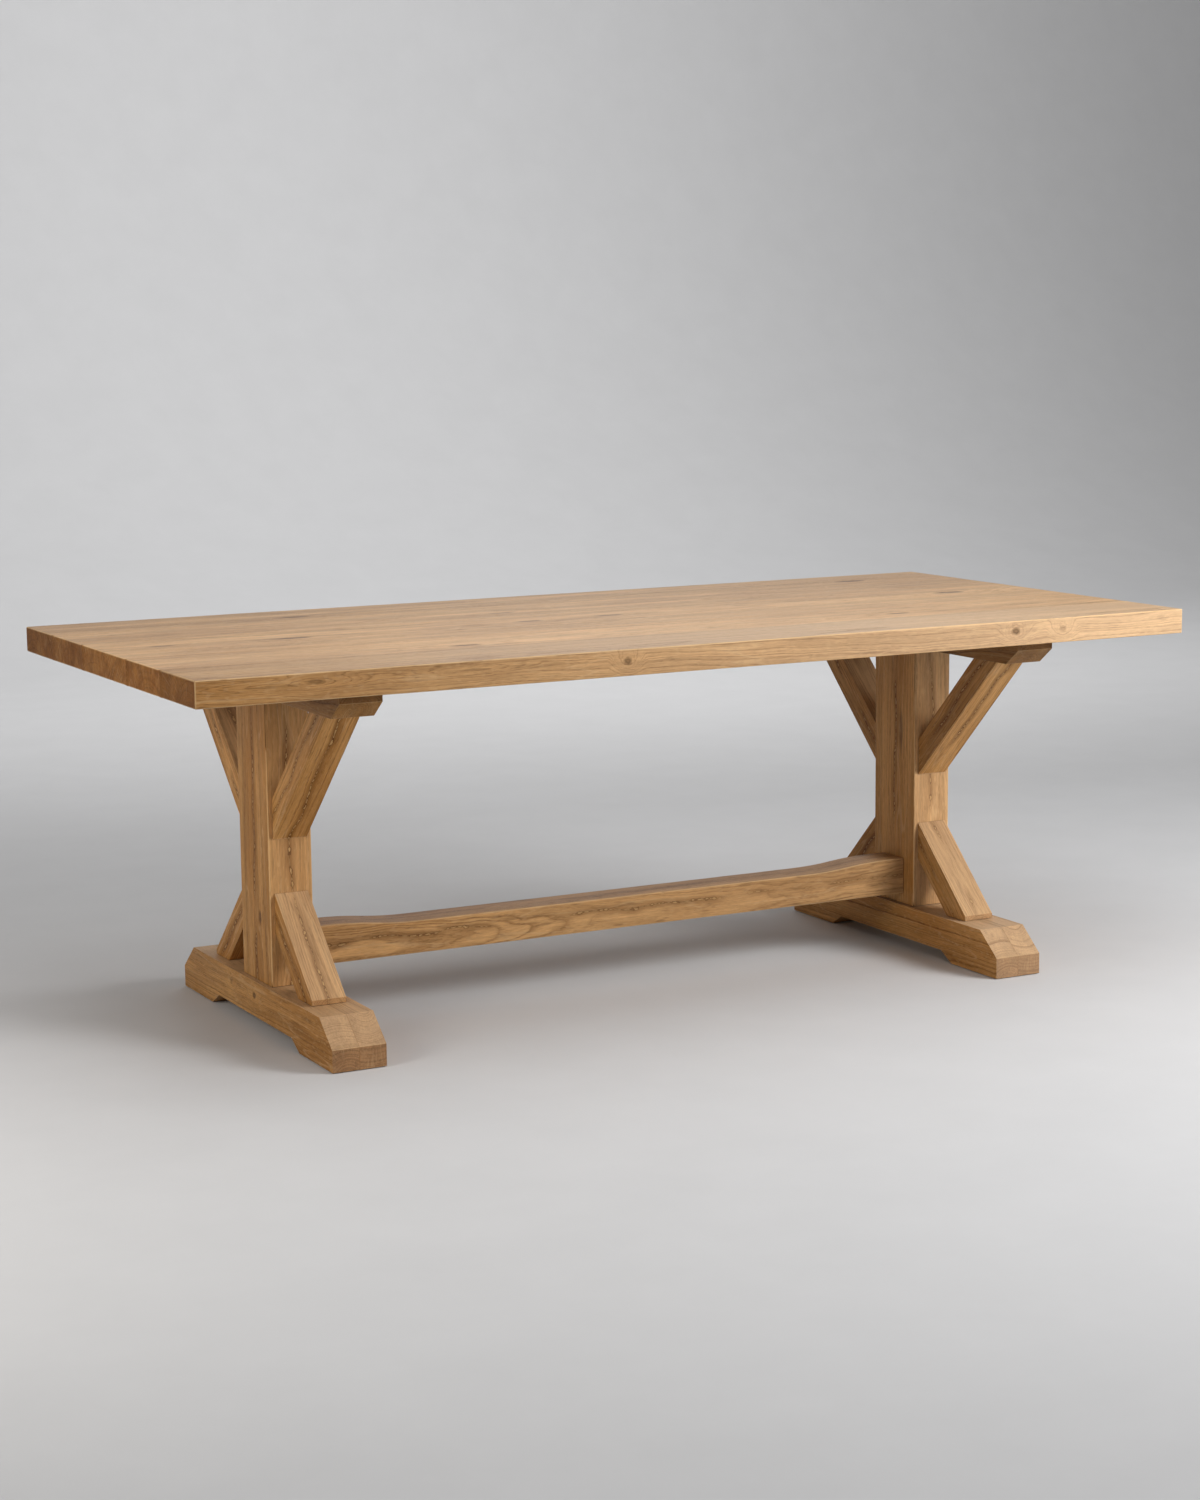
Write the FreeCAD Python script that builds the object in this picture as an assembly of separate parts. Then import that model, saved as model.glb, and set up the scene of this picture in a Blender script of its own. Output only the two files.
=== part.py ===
import FreeCAD, Part
import math
import os

# A trestle dining table in solid oak: a thick top glued up from boards, two trestles and one stretcher.
# Each trestle is a foot, a post and a bearer, stiffened by four diagonal braces.
# Millimetres. +X runs along the table to the right, +Y to the rear, +Z up.
# The origin is on the floor, under the middle of the table.

# ---------- driving dimensions ----------

# overall
table_height = 760.0
top_length = 2150.0
trestle_spacing = 1484.0  # between the middles of the two trestles

# top
board_widths = (182.0, 188.0, 260.0, 190.0, 180.0)  # front to rear
top_thickness = 51.0
top_arris = 2.0  # radius of the eased edges round the top
tongue_thickness = 10.0
tongue_width = 36.0
tongue_end_gap = 60.0  # the grooves stop this far from the ends of the boards

# feet
foot_length = 800.0
foot_width = 110.0
foot_height = 94.0
foot_bevel_run = 60.0
foot_bevel_drop = 50.0
pad_length = 165.0
relief_height = 22.0
relief_slope = 38.0

# posts
post_thickness = 90.0  # along X
post_width = 155.0  # along Y

# bearers
bearer_length = 890.0
bearer_width = 86.0
bearer_height = 50.0
bearer_end_height = 19.0
bearer_undercut = 41.0

# braces
brace_thickness = 70.0  # along X
brace_depth = 57.0  # square across the brace, seen from the end of the table
brace_angle = math.radians(44.0)  # above the floor
lower_brace_run = 109.0  # from the post to the inner edge, along the foot
lower_brace_toe = 11.0  # square toe on the foot
upper_brace_run = 202.5  # from the post to the inner edge, along the bearer

# stretcher
stretcher_clearance = 118.0  # from the floor to its underside
stretcher_thickness = 80.0  # along Y
stretcher_middle_height = 67.0
stretcher_end_height = 79.0
stretcher_land = 42.0  # level stretch of its upper edge beside each post
stretcher_ogee = 200.0  # length of the double curve between the land and the middle

# wood joints
arris = 2.0  # radius of the eased long edges of the trestles
mortise_gap = 1.0  # glue room past the end of each tenon
tenon_root = 1.0  # how far a tenon reaches back into its own piece, to join with it
post_tenon_thickness = 36.0
post_tenon_width = 105.0
foot_tenon_length = 48.0
bearer_tenon_length = 30.0
stretcher_tenon_width = 40.0
stretcher_tenon_height = 50.0
stretcher_tenon_length = 25.0
loose_tenon_thickness = 12.0
loose_tenon_width = 40.0
loose_tenon_length = 44.0
tenon_chamfer = 1.5

# fixings
hole_clearance = 0.1  # all round each metal part in its hole
stud_radius = 5.0
stud_wood_length = 45.0  # screwed into the post
stud_bore_radius = 5.75
pocket_distance = 60.0  # from the post to the pocket in the stretcher
pocket_length = 37.0
pocket_width = 30.0
pocket_roof = 15.0  # above the stud
plate_washer_size = 26.0
plate_washer_thickness = 3.0
nut_width = 17.0  # across flats
nut_height = 8.0
stud_end_past_nut = 6.0
top_screw_places = (180.0, 381.0)  # from the middle of the bearer
top_screw_radius = 4.0
top_screw_length = 50.0
top_screw_head_radius = 6.5
top_screw_head_height = 8.0
hex_key_width = 6.0
hex_key_depth = 4.0
top_washer_radius = 12.0
top_washer_thickness = 2.0
counterbore_radius = 16.0
counterbore_depth = 20.0
slot_width = 9.0
slot_travel = 6.0  # how far the top can move over the bearer, across the boards
insert_radius = 6.0
insert_length = 20.0
insert_flange_radius = 8.0
insert_flange_thickness = 1.6

# glides
glide_radius = 18.0
glide_thickness = 5.0
glide_proud = 1.0  # below the foot
glide_edge_gap = 6.0  # from the glide to the side of the foot
glide_screw_radius = 2.0
glide_screw_length = 14.0  # in the wood
glide_screw_head_radius = 4.0
glide_screw_head_height = 2.0
glide_screw_recess = 0.5

# ---------- places that follow from them ----------

top_underside = table_height - top_thickness
top_width = sum(board_widths)
bearer_underside = top_underside - bearer_height
foot_top = glide_proud + foot_height
post_side = post_width / 2
post_inner_face = (trestle_spacing - post_thickness) / 2
stretcher_axis = stretcher_clearance + stretcher_end_height / 2
counterbore_roof = bearer_underside + counterbore_depth
pocket_face = post_inner_face - pocket_distance
nut_face = pocket_face - plate_washer_thickness
glide_y = foot_length / 2 - pad_length / 2
glide_x = foot_width / 2 - glide_edge_gap - glide_radius
trestles = (("left", -trestle_spacing / 2, -1), ("right", trestle_spacing / 2, 1))
ends = (("front", -1), ("rear", 1))


# ---------- helpers ----------

def box(x_low, x_high, y_low, y_high, z_low, z_high):
    size = (x_high - x_low, y_high - y_low, z_high - z_low)
    return Part.makeBox(*size, FreeCAD.Vector(x_low, y_low, z_low))


def box_at(x, y, z, length, width, height):
    """A box by its middle and its sizes along X, Y and Z."""
    return box(x - length / 2, x + length / 2, y - width / 2, y + width / 2, z - height / 2, z + height / 2)


def rod(x, y, z, radius, length, direction):
    return Part.makeCylinder(radius, length, FreeCAD.Vector(x, y, z), FreeCAD.Vector(*direction))


def upright(x, y, z_low, z_high, radius):
    return rod(x, y, z_low, radius, z_high - z_low, (0, 0, 1))


def hexagon(x, y, z, width, height, direction):
    """A hexagonal prism by the middle of its first face and its width across flats."""
    circle = width / math.sqrt(3)
    normal = FreeCAD.Vector(*direction)
    across = FreeCAD.Vector(0, 1, 0)
    other = normal.cross(across)
    corners = []
    for step in range(7):
        angle = math.radians(60 * step)
        spoke = across * math.cos(angle) + other * math.sin(angle)
        corners.append(FreeCAD.Vector(x, y, z) + spoke * circle)
    return Part.Face(Part.makePolygon(corners)).extrude(normal * height)


def end_profile(points, x, thickness):
    """A closed outline of (y, z) points, as thick as given along X and centred on x."""
    corners = [FreeCAD.Vector(x - thickness / 2, y, z) for y, z in points + points[:1]]
    return Part.Face(Part.makePolygon(corners)).extrude(FreeCAD.Vector(thickness, 0, 0))


def eased(shape, radius, chosen):
    """The shape with the chosen edges rounded; chosen takes the two ends of an edge."""
    picked = [edge for edge in shape.Edges if chosen(edge.Vertexes[0].Point, edge.Vertexes[-1].Point)]
    return shape.makeFillet(radius, picked)


def chamfered(shape):
    return shape.makeChamfer(tenon_chamfer, shape.Edges)


def cut_all(shape, tools):
    return shape.cut(Part.makeCompound(tools)) if tools else shape


def save(node, solids):
    shape = solids[0] if len(solids) == 1 else Part.makeCompound(solids)
    shape.exportStep("parts/" + node + ".step")
    print(node, len(shape.Solids), "solids", round(shape.Volume / 1000.0), "cm3")


# ---------- brace geometry ----------

def brace_outline(run, toe):
    """Outline of a brace as (out, off) points: out from the post's face, off from the foot or bearer."""
    slope = math.tan(brace_angle)
    outer_run = run + brace_depth / math.sin(brace_angle)
    points = [(run, 0.0), (0.0, run * slope), (0.0, outer_run * slope), (outer_run - toe / slope, toe)]
    if toe:
        points.append((outer_run - toe / slope, 0.0))
    return points


def brace_tenon_places(run):
    """Middles, as (out, off), of the loose tenons into the post and into the foot or bearer."""
    slope = math.tan(brace_angle)
    outer_run = run + brace_depth / math.sin(brace_angle)
    reach = loose_tenon_length / 2
    into_post = (0.0, (run * slope + outer_run * slope - reach * slope) / 2)
    into_beam = ((run + outer_run - reach / slope) / 2, 0.0)
    return into_post, into_beam


# the lower braces rise from the foot, the upper ones hang from the bearer
brace_rows = (
    ("lower", lower_brace_run, lower_brace_toe, foot_top, 1),
    ("upper", upper_brace_run, 0.0, bearer_underside, -1),
)


def brace_tenons(x, end, row, room):
    """The two loose tenons of one brace, or the room that they need when room is above 0."""
    name, run, toe, beam_z, up = row
    into_post, into_beam = brace_tenon_places(run)
    length = loose_tenon_length + 2 * room
    post_z = beam_z + up * into_post[1]
    beam_y = end * (post_side + into_beam[0])
    return [
        box_at(x, end * post_side, post_z, loose_tenon_thickness, length, loose_tenon_width),
        box_at(x, beam_y, beam_z, loose_tenon_thickness, loose_tenon_width, length),
    ]


# ---------- top ----------

def board_edges():
    """Y of the front of the top, of each joint and of the rear."""
    edges = [-top_width / 2]
    for width in board_widths:
        edges.append(edges[-1] + width)
    return edges


def tongue(y, room):
    length = top_length - 2 * tongue_end_gap + 2 * room
    z = top_underside + top_thickness / 2
    return box_at(0, y, z, length, tongue_width + 2 * room, tongue_thickness)


def top_screw_points():
    points = []
    for name, x, side in trestles:
        for end in (-1, 1):
            points += [(x, end * place) for place in top_screw_places]
    return points


def insert_holes():
    holes = []
    for x, y in top_screw_points():
        insert_top = top_underside + insert_length
        holes.append(upright(x, y, top_underside, insert_top, insert_radius + hole_clearance))
        flange_top = top_underside + insert_flange_thickness
        holes.append(upright(x, y, top_underside, flange_top, insert_flange_radius + hole_clearance))
        screw_tip = counterbore_roof - top_washer_thickness + top_screw_length
        holes.append(upright(x, y, top_underside, screw_tip + mortise_gap, top_screw_radius + hole_clearance))
    return holes


def top_boards():
    edges = board_edges()
    half = top_length / 2
    grooves = [tongue(y, mortise_gap) for y in edges[1:-1]]
    boards = []
    for low, high in zip(edges, edges[1:]):
        board = box(-half, half, low, high, top_underside, table_height)

        def outside(a, b):
            across_end = abs(a.x) == half and a.x == b.x and a.z == b.z
            along_front = a.y == b.y == edges[0] and a.z == b.z
            along_rear = a.y == b.y == edges[-1] and a.z == b.z
            return across_end or along_front or along_rear

        board = eased(board, top_arris, outside)
        boards.append(cut_all(board, grooves + insert_holes()))
    return boards


# ---------- trestles ----------

def foot(x):
    half = foot_length / 2
    floor_side = glide_proud
    pad_end = half - pad_length
    points = [
        (-half, floor_side),
        (-half, foot_top - foot_bevel_drop),
        (-half + foot_bevel_run, foot_top),
        (half - foot_bevel_run, foot_top),
        (half, foot_top - foot_bevel_drop),
        (half, floor_side),
        (pad_end, floor_side),
        (pad_end - relief_slope, floor_side + relief_height),
        (-pad_end + relief_slope, floor_side + relief_height),
        (-pad_end, floor_side),
    ]
    body = end_profile(points, x, foot_width)
    body = eased(body, arris, lambda a, b: a.x == b.x)
    tenon_room = foot_tenon_length + mortise_gap
    rooms = [box_at(x, 0, foot_top - tenon_room / 2, post_tenon_thickness, post_tenon_width, tenon_room)]
    for name, end in ends:
        rooms += brace_tenons(x, end, brace_rows[0], mortise_gap)
    for gx, gy in glide_points(x):
        rooms.append(upright(gx, gy, glide_proud, glide_thickness, glide_radius + hole_clearance))
        hole_top = glide_thickness + glide_screw_length + mortise_gap
        rooms.append(upright(gx, gy, glide_proud, hole_top, glide_screw_radius + hole_clearance))
    return cut_all(body, rooms)


def post(x, side):
    height = bearer_underside - foot_top
    body = box_at(x, 0, foot_top + height / 2, post_thickness, post_width, height)
    body = eased(body, arris, lambda a, b: a.x == b.x and a.y == b.y)
    length = foot_tenon_length + height + bearer_tenon_length
    middle = (foot_top - foot_tenon_length + bearer_underside + bearer_tenon_length) / 2
    tenons = box_at(x, 0, middle, post_tenon_thickness, post_tenon_width, length)
    rooms = []
    for row in brace_rows:
        for name, end in ends:
            rooms += brace_tenons(x, end, row, mortise_gap)[:1]
    rooms.append(stretcher_tenon(side, mortise_gap))
    rooms.append(stud(side, hole_clearance, mortise_gap))
    return cut_all(body.fuse(tenons).removeSplitter(), rooms)


def bearer(x):
    half = bearer_length / 2
    points = [
        (-half, top_underside),
        (half, top_underside),
        (half, top_underside - bearer_end_height),
        (half - bearer_undercut, bearer_underside),
        (-half + bearer_undercut, bearer_underside),
        (-half, top_underside - bearer_end_height),
    ]
    body = end_profile(points, x, bearer_width)
    body = eased(body, arris, lambda a, b: min(a.z, b.z) < top_underside and a.x == b.x)
    tenon_room = bearer_tenon_length + mortise_gap
    room_middle = bearer_underside + tenon_room / 2
    rooms = [box_at(x, 0, room_middle, post_tenon_thickness, post_tenon_width, tenon_room)]
    for name, end in ends:
        rooms += brace_tenons(x, end, brace_rows[1], mortise_gap)
        for place in top_screw_places:
            rooms += screw_slot(x, end * place)
    return cut_all(body, rooms)


def screw_slot(x, y):
    """A slot along Y with round ends, over a round counterbore."""
    half = slot_travel / 2
    parts = [upright(x, y, bearer_underside, counterbore_roof, counterbore_radius)]
    middle = (counterbore_roof + top_underside) / 2
    height = top_underside - counterbore_roof
    parts.append(box_at(x, y, middle, slot_width, slot_travel, height))
    for end in (-half, half):
        parts.append(upright(x, y + end, counterbore_roof, top_underside, slot_width / 2))
    return parts


def brace(x, end, row):
    name, run, toe, beam_z, up = row
    points = [(end * (post_side + out), beam_z + up * off) for out, off in brace_outline(run, toe)]
    body = end_profile(points, x, brace_thickness)

    def long_edge(a, b):
        return a.x == b.x and abs(a.y - b.y) > 1 and abs(a.z - b.z) > 1

    body = eased(body, arris, long_edge)
    return cut_all(body, brace_tenons(x, end, row, mortise_gap))


# ---------- stretcher ----------

def stretcher_tenon(side, room):
    start = side * (post_inner_face - tenon_root)
    stop = side * (post_inner_face + stretcher_tenon_length + room)
    half = stretcher_tenon_width / 2
    low = stretcher_axis - stretcher_tenon_height / 2
    return box(min(start, stop), max(start, stop), -half, half, low, low + stretcher_tenon_height)


def stretcher_outline():
    """Its long side: a straight underside, and an upper edge that rises in an ogee to a land at each post."""
    low = stretcher_clearance
    middle = low + stretcher_middle_height
    high = low + stretcher_end_height
    face = post_inner_face
    land = face - stretcher_land
    flat = land - stretcher_ogee

    # the ogee is two equal arcs, level at its ends and tangent to each other half way
    half_run = stretcher_ogee / 2
    half_rise = (high - middle) / 2
    radius = (half_run ** 2 + half_rise ** 2) / (2 * half_rise)
    half_turn = math.asin(half_run / radius) / 2
    reach = radius * math.sin(half_turn)
    bow = radius * (1 - math.cos(half_turn))

    def at(x, z):
        return FreeCAD.Vector(x, -stretcher_thickness / 2, z)

    edges = []
    for side in (-1, 1):
        halfway = at(side * (flat + half_run), middle + half_rise)
        hollow = at(side * (flat + reach), middle + bow)
        crown = at(side * (land - reach), high - bow)
        edges.append(Part.Arc(at(side * flat, middle), hollow, halfway).toShape())
        edges.append(Part.Arc(halfway, crown, at(side * land, high)).toShape())
    corners = [at(-land, high), at(-face, high), at(-face, low), at(face, low), at(face, high), at(land, high)]
    for start, stop in zip(corners, corners[1:]):
        edges.append(Part.LineSegment(start, stop).toShape())
    edges.append(Part.LineSegment(at(-flat, middle), at(flat, middle)).toShape())
    return Part.Wire(Part.sortEdges(edges)[0])


def stretcher():
    body = Part.Face(stretcher_outline()).extrude(FreeCAD.Vector(0, stretcher_thickness, 0))
    body = eased(body, arris, lambda a, b: a.y == b.y and abs(a.x - b.x) > 1)
    for name, x, side in trestles:
        body = body.fuse(stretcher_tenon(side, 0.0))
    body = body.removeSplitter()
    rooms = []
    for name, x, side in trestles:
        rooms.append(stud_bore(side))
        near = side * pocket_face
        far = side * (pocket_face - pocket_length)
        half = pocket_width / 2
        roof = stretcher_axis + pocket_roof
        rooms.append(box(min(near, far), max(near, far), -half, half, stretcher_clearance, roof))
    return cut_all(body, rooms)


def stud_bore(side):
    start = side * pocket_face
    length = pocket_distance + stretcher_tenon_length
    return rod(start, 0, stretcher_axis, stud_bore_radius, length, (side, 0, 0))


def stud(side, clearance, room):
    """The hanger bolt that pulls the stretcher to a post, from its nut end to its point in the wood."""
    start = nut_face - nut_height - stud_end_past_nut
    stop = post_inner_face + stretcher_tenon_length + mortise_gap + stud_wood_length
    return rod(side * start, 0, stretcher_axis, stud_radius + clearance, stop - start + room, (side, 0, 0))


def pointed_stud(side):
    body = stud(side, 0.0, 0.0)
    ring = [edge for edge in body.Edges if len(edge.Vertexes) == 1]
    return body.makeChamfer(tenon_chamfer, ring)


def plate_washer(side):
    thickness = plate_washer_thickness
    middle = side * (pocket_face - thickness / 2)
    plate = box_at(middle, 0, stretcher_axis, thickness, plate_washer_size, plate_washer_size)
    hole_radius = stud_radius + 2 * hole_clearance
    hole = rod(middle - thickness, 0, stretcher_axis, hole_radius, 2 * thickness, (1, 0, 0))
    return plate.cut(hole)


def stud_nut(side):
    body = hexagon(side * nut_face, 0, stretcher_axis, nut_width, nut_height, (-side, 0, 0))
    hole = rod(side * nut_face, 0, stretcher_axis, stud_radius + hole_clearance, nut_height, (-side, 0, 0))
    return body.cut(hole)


# ---------- top fixings ----------

def top_screw(x, y):
    seat = counterbore_roof - top_washer_thickness
    head = upright(x, y, seat - top_screw_head_height, seat, top_screw_head_radius)
    shank = upright(x, y, seat, seat + top_screw_length, top_screw_radius)
    key = hexagon(x, y, seat - top_screw_head_height, hex_key_width, hex_key_depth, (0, 0, 1))
    return head.fuse(shank).cut(key)


def top_washer(x, y):
    low = counterbore_roof - top_washer_thickness
    ring = upright(x, y, low, counterbore_roof, top_washer_radius)
    return ring.cut(upright(x, y, low, counterbore_roof, top_screw_radius + 2 * hole_clearance))


def top_insert(x, y):
    sleeve = upright(x, y, top_underside, top_underside + insert_length, insert_radius)
    flange = upright(x, y, top_underside, top_underside + insert_flange_thickness, insert_flange_radius)
    thread = upright(x, y, top_underside, top_underside + insert_length, top_screw_radius + hole_clearance)
    return sleeve.fuse(flange).cut(thread)


# ---------- glides ----------

def glide_points(x):
    return [(x + across, end * glide_y) for end in (-1, 1) for across in (-glide_x, glide_x)]


def glide(x, y):
    disc = upright(x, y, 0.0, glide_thickness, glide_radius)
    disc = disc.makeChamfer(glide_proud / 2, [edge for edge in disc.Edges if edge.BoundBox.ZMax < 1e-6])
    recess_top = glide_screw_recess + glide_screw_head_height
    recess = upright(x, y, 0.0, recess_top, glide_screw_head_radius + hole_clearance)
    hole = upright(x, y, 0.0, glide_thickness, glide_screw_radius + hole_clearance)
    return cut_all(disc, [recess, hole])


def glide_screw(x, y):
    neck = glide_screw_recess + glide_screw_head_height
    head = upright(x, y, glide_screw_recess, neck, glide_screw_head_radius)
    shank = upright(x, y, neck, glide_thickness + glide_screw_length, glide_screw_radius)
    return head.fuse(shank)


# ---------- the table ----------

def build():
    os.makedirs("parts", exist_ok=True)
    for number, board in enumerate(top_boards(), start=1):
        save("top_board_%d" % number, [board])
    save("top_tongues", [chamfered(tongue(y, 0.0)) for y in board_edges()[1:-1]])
    for name, x, side in trestles:
        save("foot_" + name, [foot(x)])
        save("post_" + name, [post(x, side)])
        save("bearer_" + name, [bearer(x)])
        tenons = []
        for row in brace_rows:
            for place, end in ends:
                save(row[0] + "_brace_" + name + "_" + place, [brace(x, end, row)])
                tenons += [chamfered(tenon) for tenon in brace_tenons(x, end, row, 0.0)]
        save("brace_tenons_" + name, tenons)
        for place, end in ends:
            points = [point for point in glide_points(x) if point[1] * end > 0]
            save("glides_" + name + "_" + place, [glide(*point) for point in points])
    save("stretcher", [stretcher()])
    sides = [side for name, x, side in trestles]
    save("stretcher_studs", [pointed_stud(side) for side in sides])
    save("stretcher_washers", [plate_washer(side) for side in sides])
    save("stretcher_nuts", [stud_nut(side) for side in sides])
    save("top_screws", [top_screw(x, y) for x, y in top_screw_points()])
    save("top_washers", [top_washer(x, y) for x, y in top_screw_points()])
    save("top_inserts", [top_insert(x, y) for x, y in top_screw_points()])
    screws = [glide_screw(gx, gy) for name, x, side in trestles for gx, gy in glide_points(x)]
    save("glide_screws", screws)


build()
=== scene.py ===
import math
from functools import partial
import bmesh
import bpy
from mathutils import Matrix, Vector, noise


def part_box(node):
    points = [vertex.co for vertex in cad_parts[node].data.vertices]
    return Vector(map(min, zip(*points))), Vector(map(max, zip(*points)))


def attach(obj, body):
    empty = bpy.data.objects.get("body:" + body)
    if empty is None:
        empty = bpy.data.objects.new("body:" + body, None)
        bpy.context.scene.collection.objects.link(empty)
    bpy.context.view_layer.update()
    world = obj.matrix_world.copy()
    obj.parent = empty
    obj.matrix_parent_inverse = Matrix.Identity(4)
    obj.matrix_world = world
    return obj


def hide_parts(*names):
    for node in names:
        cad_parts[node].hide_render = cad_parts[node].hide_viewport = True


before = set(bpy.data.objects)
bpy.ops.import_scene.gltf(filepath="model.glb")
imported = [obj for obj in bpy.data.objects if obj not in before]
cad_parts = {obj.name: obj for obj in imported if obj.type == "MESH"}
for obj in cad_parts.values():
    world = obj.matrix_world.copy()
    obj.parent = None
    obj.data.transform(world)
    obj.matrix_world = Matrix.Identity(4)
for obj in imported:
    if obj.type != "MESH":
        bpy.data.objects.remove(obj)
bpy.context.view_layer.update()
mm = 0.001
print("frame loaded:", len(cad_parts), "nodes")


# camera: where it stands, how it is turned and its lens

view = {
    "place": (-2.729, -5.1618, 1.3944),
    "yaw": 27.64,  # degrees to the right of straight ahead
    "pitch": -8.846,
    "roll": -0.596,
    "lens": 68.82,
}


def makeCamera(look):
    bpy.ops.object.camera_add(location=look["place"])
    camera = bpy.context.object
    camera.name = "camera"
    camera.data.lens = look["lens"]
    camera.data.clip_end = 60
    upright = Matrix.Rotation(math.radians(-look["yaw"]), 4, "Z")
    tilted = Matrix.Rotation(math.radians(90 + look["pitch"]), 4, "X")
    rolled = Matrix.Rotation(math.radians(look["roll"]), 4, "Z")
    camera.matrix_world = Matrix.Translation(look["place"]) @ upright @ tilted @ rolled
    bpy.context.scene.camera = camera


makeCamera(view)


# nodes: one tool for all materials

def linear(colour):  # sRGB hex to linear
    shares = [int(colour[start:start + 2], 16) / 255 for start in (1, 3, 5)]
    return [s / 12.92 if s <= 0.04045 else ((s + 0.055) / 1.055) ** 2.4 for s in shares] + [1.0]


def addNode(tree, kind, inputs=None, **settings):  # an input is a number, a colour, a socket or a node
    node = tree.nodes.new("ShaderNode" + kind)
    for name, value in settings.items():
        setattr(node, name, value)
    for name, value in (inputs or {}).items():
        if isinstance(name, int):
            socket = node.inputs[name]
        else:
            socket = next(s for s in node.inputs if s.name == name and s.enabled)
        if isinstance(value, bpy.types.Node):
            value = next(out for out in value.outputs if out.enabled)
        if isinstance(value, bpy.types.NodeSocket):
            tree.links.new(value, socket)
        else:
            socket.default_value = value
    return node


falling = {"To Min": 1.0, "To Max": 0.0}  # for a range that fades out
softly = {"interpolation_type": "SMOOTHSTEP"}  # for one that eases in and out


def newMaterial(name):
    material = bpy.data.materials.new(name)
    material.use_nodes = True
    material.node_tree.nodes.clear()
    return material, partial(addNode, material.node_tree)


def newGroup(name, given, handed):
    tree = bpy.data.node_groups.new(name, "ShaderNodeTree")
    for label, kind in given:
        tree.interface.new_socket(name=label, in_out="INPUT", socket_type="NodeSocket" + kind)
    for label, kind in handed:
        tree.interface.new_socket(name=label, in_out="OUTPUT", socket_type="NodeSocket" + kind)
    return tree, partial(addNode, tree), tree.nodes.new("NodeGroupInput").outputs


def handOut(tree, **results):  # each result to the group's output of that name
    out = tree.nodes.new("NodeGroupOutput").inputs
    for label, node in results.items():
        tree.links.new(node.outputs[0], out[label])


# selecting by place or normal in edit mode

def choose(block, kind, wanted):
    bpy.ops.mesh.select_mode(type=kind)
    bpy.ops.mesh.select_all(action="DESELECT")
    shape = bmesh.from_edit_mesh(block.data)
    for part in {"VERT": shape.verts, "EDGE": shape.edges, "FACE": shape.faces}[kind]:
        if wanted(part):
            part.select_set(True)
    bmesh.update_edit_mesh(block.data)


# studio: a paper sweep that rises into the wall, and soft lamps

studio = {
    "floor": "#CECECF",
    "mottle": 0.015,  # how much its lightness varies
    "width": 30.0,
    "front": -13.0,
    "bend": 5.5,  # where the floor starts to rise
    "radius": 3.5,
    "height": 9.0,
    "world": 0.2,
    "unreflected": ("key", "keyHigh", "front", "fill"),  # kept out of reflections, as by a polarising filter
    "lamps": (
        # name, place, aim, width, height, watts, colour
        ("key", (3.0, -3.0, 1.8), (0.6, 0.0, 0.5), 1.8, 1.8, 66, "#FFFFFF"),
        ("keyHigh", (2.4, -2.6, 2.4), (0.7, 0.0, 0.5), 1.6, 1.6, 72, "#FFFFFF"),
        ("front", (3.6, -4.2, 2.4), (0.5, 0.0, 0.4), 2.0, 2.0, 36, "#FFFFFF"),
        ("overhead", (-0.6, -1.0, 3.0), (-0.3, -0.2, 0.4), 1.8, 1.6, 21, "#FFFFFF"),
        ("high", (-0.3, 0.6, 4.2), (0.0, 0.0, 0.7), 3.4, 2.2, 26, "#FFFFFF"),
        ("rim", (2.5, 3.8, 3.4), (0.3, 0.0, 0.6), 2.4, 2.0, 24, "#FFFFFF"),
        ("fill", (-2.9, -0.9, 1.3), (-0.8, 0.0, 0.4), 1.2, 1.2, 24, "#FFF9F0"),
        ("wallRight", (2.8, 3.2, 4.2), (3.9, 9.0, 1.9), 5.0, 2.5, 188, "#FFFFFF"),
        ("wallMiddle", (0.5, 4.0, 5.0), (2.5, 8.6, 1.0), 4.0, 3.0, 28, "#FFFFFF"),
        ("wallLeft", (-2.6, 4.0, 3.2), (-0.8, 8.0, -0.2), 4.0, 2.0, 44, "#FFFFFF"),
    ),
}


def makeSweep(look):
    bpy.ops.object.select_all(action="DESELECT")
    front, bend, radius = look["front"], look["bend"], look["radius"]
    bpy.ops.mesh.primitive_plane_add(size=1, location=(0, (front + bend) / 2, 0))
    sweep = bpy.context.object
    sweep.name = sweep.data.name = "paper_sweep"
    sweep.scale = (look["width"], bend - front, 1)
    bpy.ops.object.transform_apply(location=True, rotation=True, scale=True)
    bpy.ops.object.mode_set(mode="EDIT")
    choose(sweep, "EDGE", lambda edge: all(vertex.co.y > bend - mm for vertex in edge.verts))
    bpy.ops.mesh.spin(steps=24, angle=-math.pi / 2, center=(0, bend, radius), axis=(1, 0, 0))
    choose(sweep, "EDGE", lambda edge: all(vertex.co.z > radius - mm for vertex in edge.verts))
    bpy.ops.mesh.extrude_region_move(TRANSFORM_OT_translate={"value": (0, 0, look["height"] - radius)})
    bpy.ops.mesh.select_all(action="SELECT")
    bpy.ops.mesh.normals_make_consistent(inside=False)
    bpy.ops.object.mode_set(mode="OBJECT")
    bpy.ops.object.shade_smooth()
    material, add = newMaterial("seamless paper, matt")  # its fibres give a flat, slightly mottled grey
    place = add("TexCoord").outputs["Object"]
    mottle = add("TexNoise", {"Vector": place, "Scale": 5.0, "Detail": 4.0, "Roughness": 0.6})
    shade = add("MapRange", {"Value": mottle, "From Min": 0.3, "From Max": 0.7,
                             "To Min": 1 - look["mottle"], "To Max": 1 + look["mottle"]})
    colour = add("VectorMath", {0: linear(look["floor"])[:3], "Scale": shade}, operation="SCALE")
    shader = add("BsdfPrincipled", {"Base Color": colour, "Roughness": 0.9, "Specular IOR Level": 0.2})
    add("OutputMaterial", {"Surface": shader.outputs[0]})
    sweep.data.materials.append(material)


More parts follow.
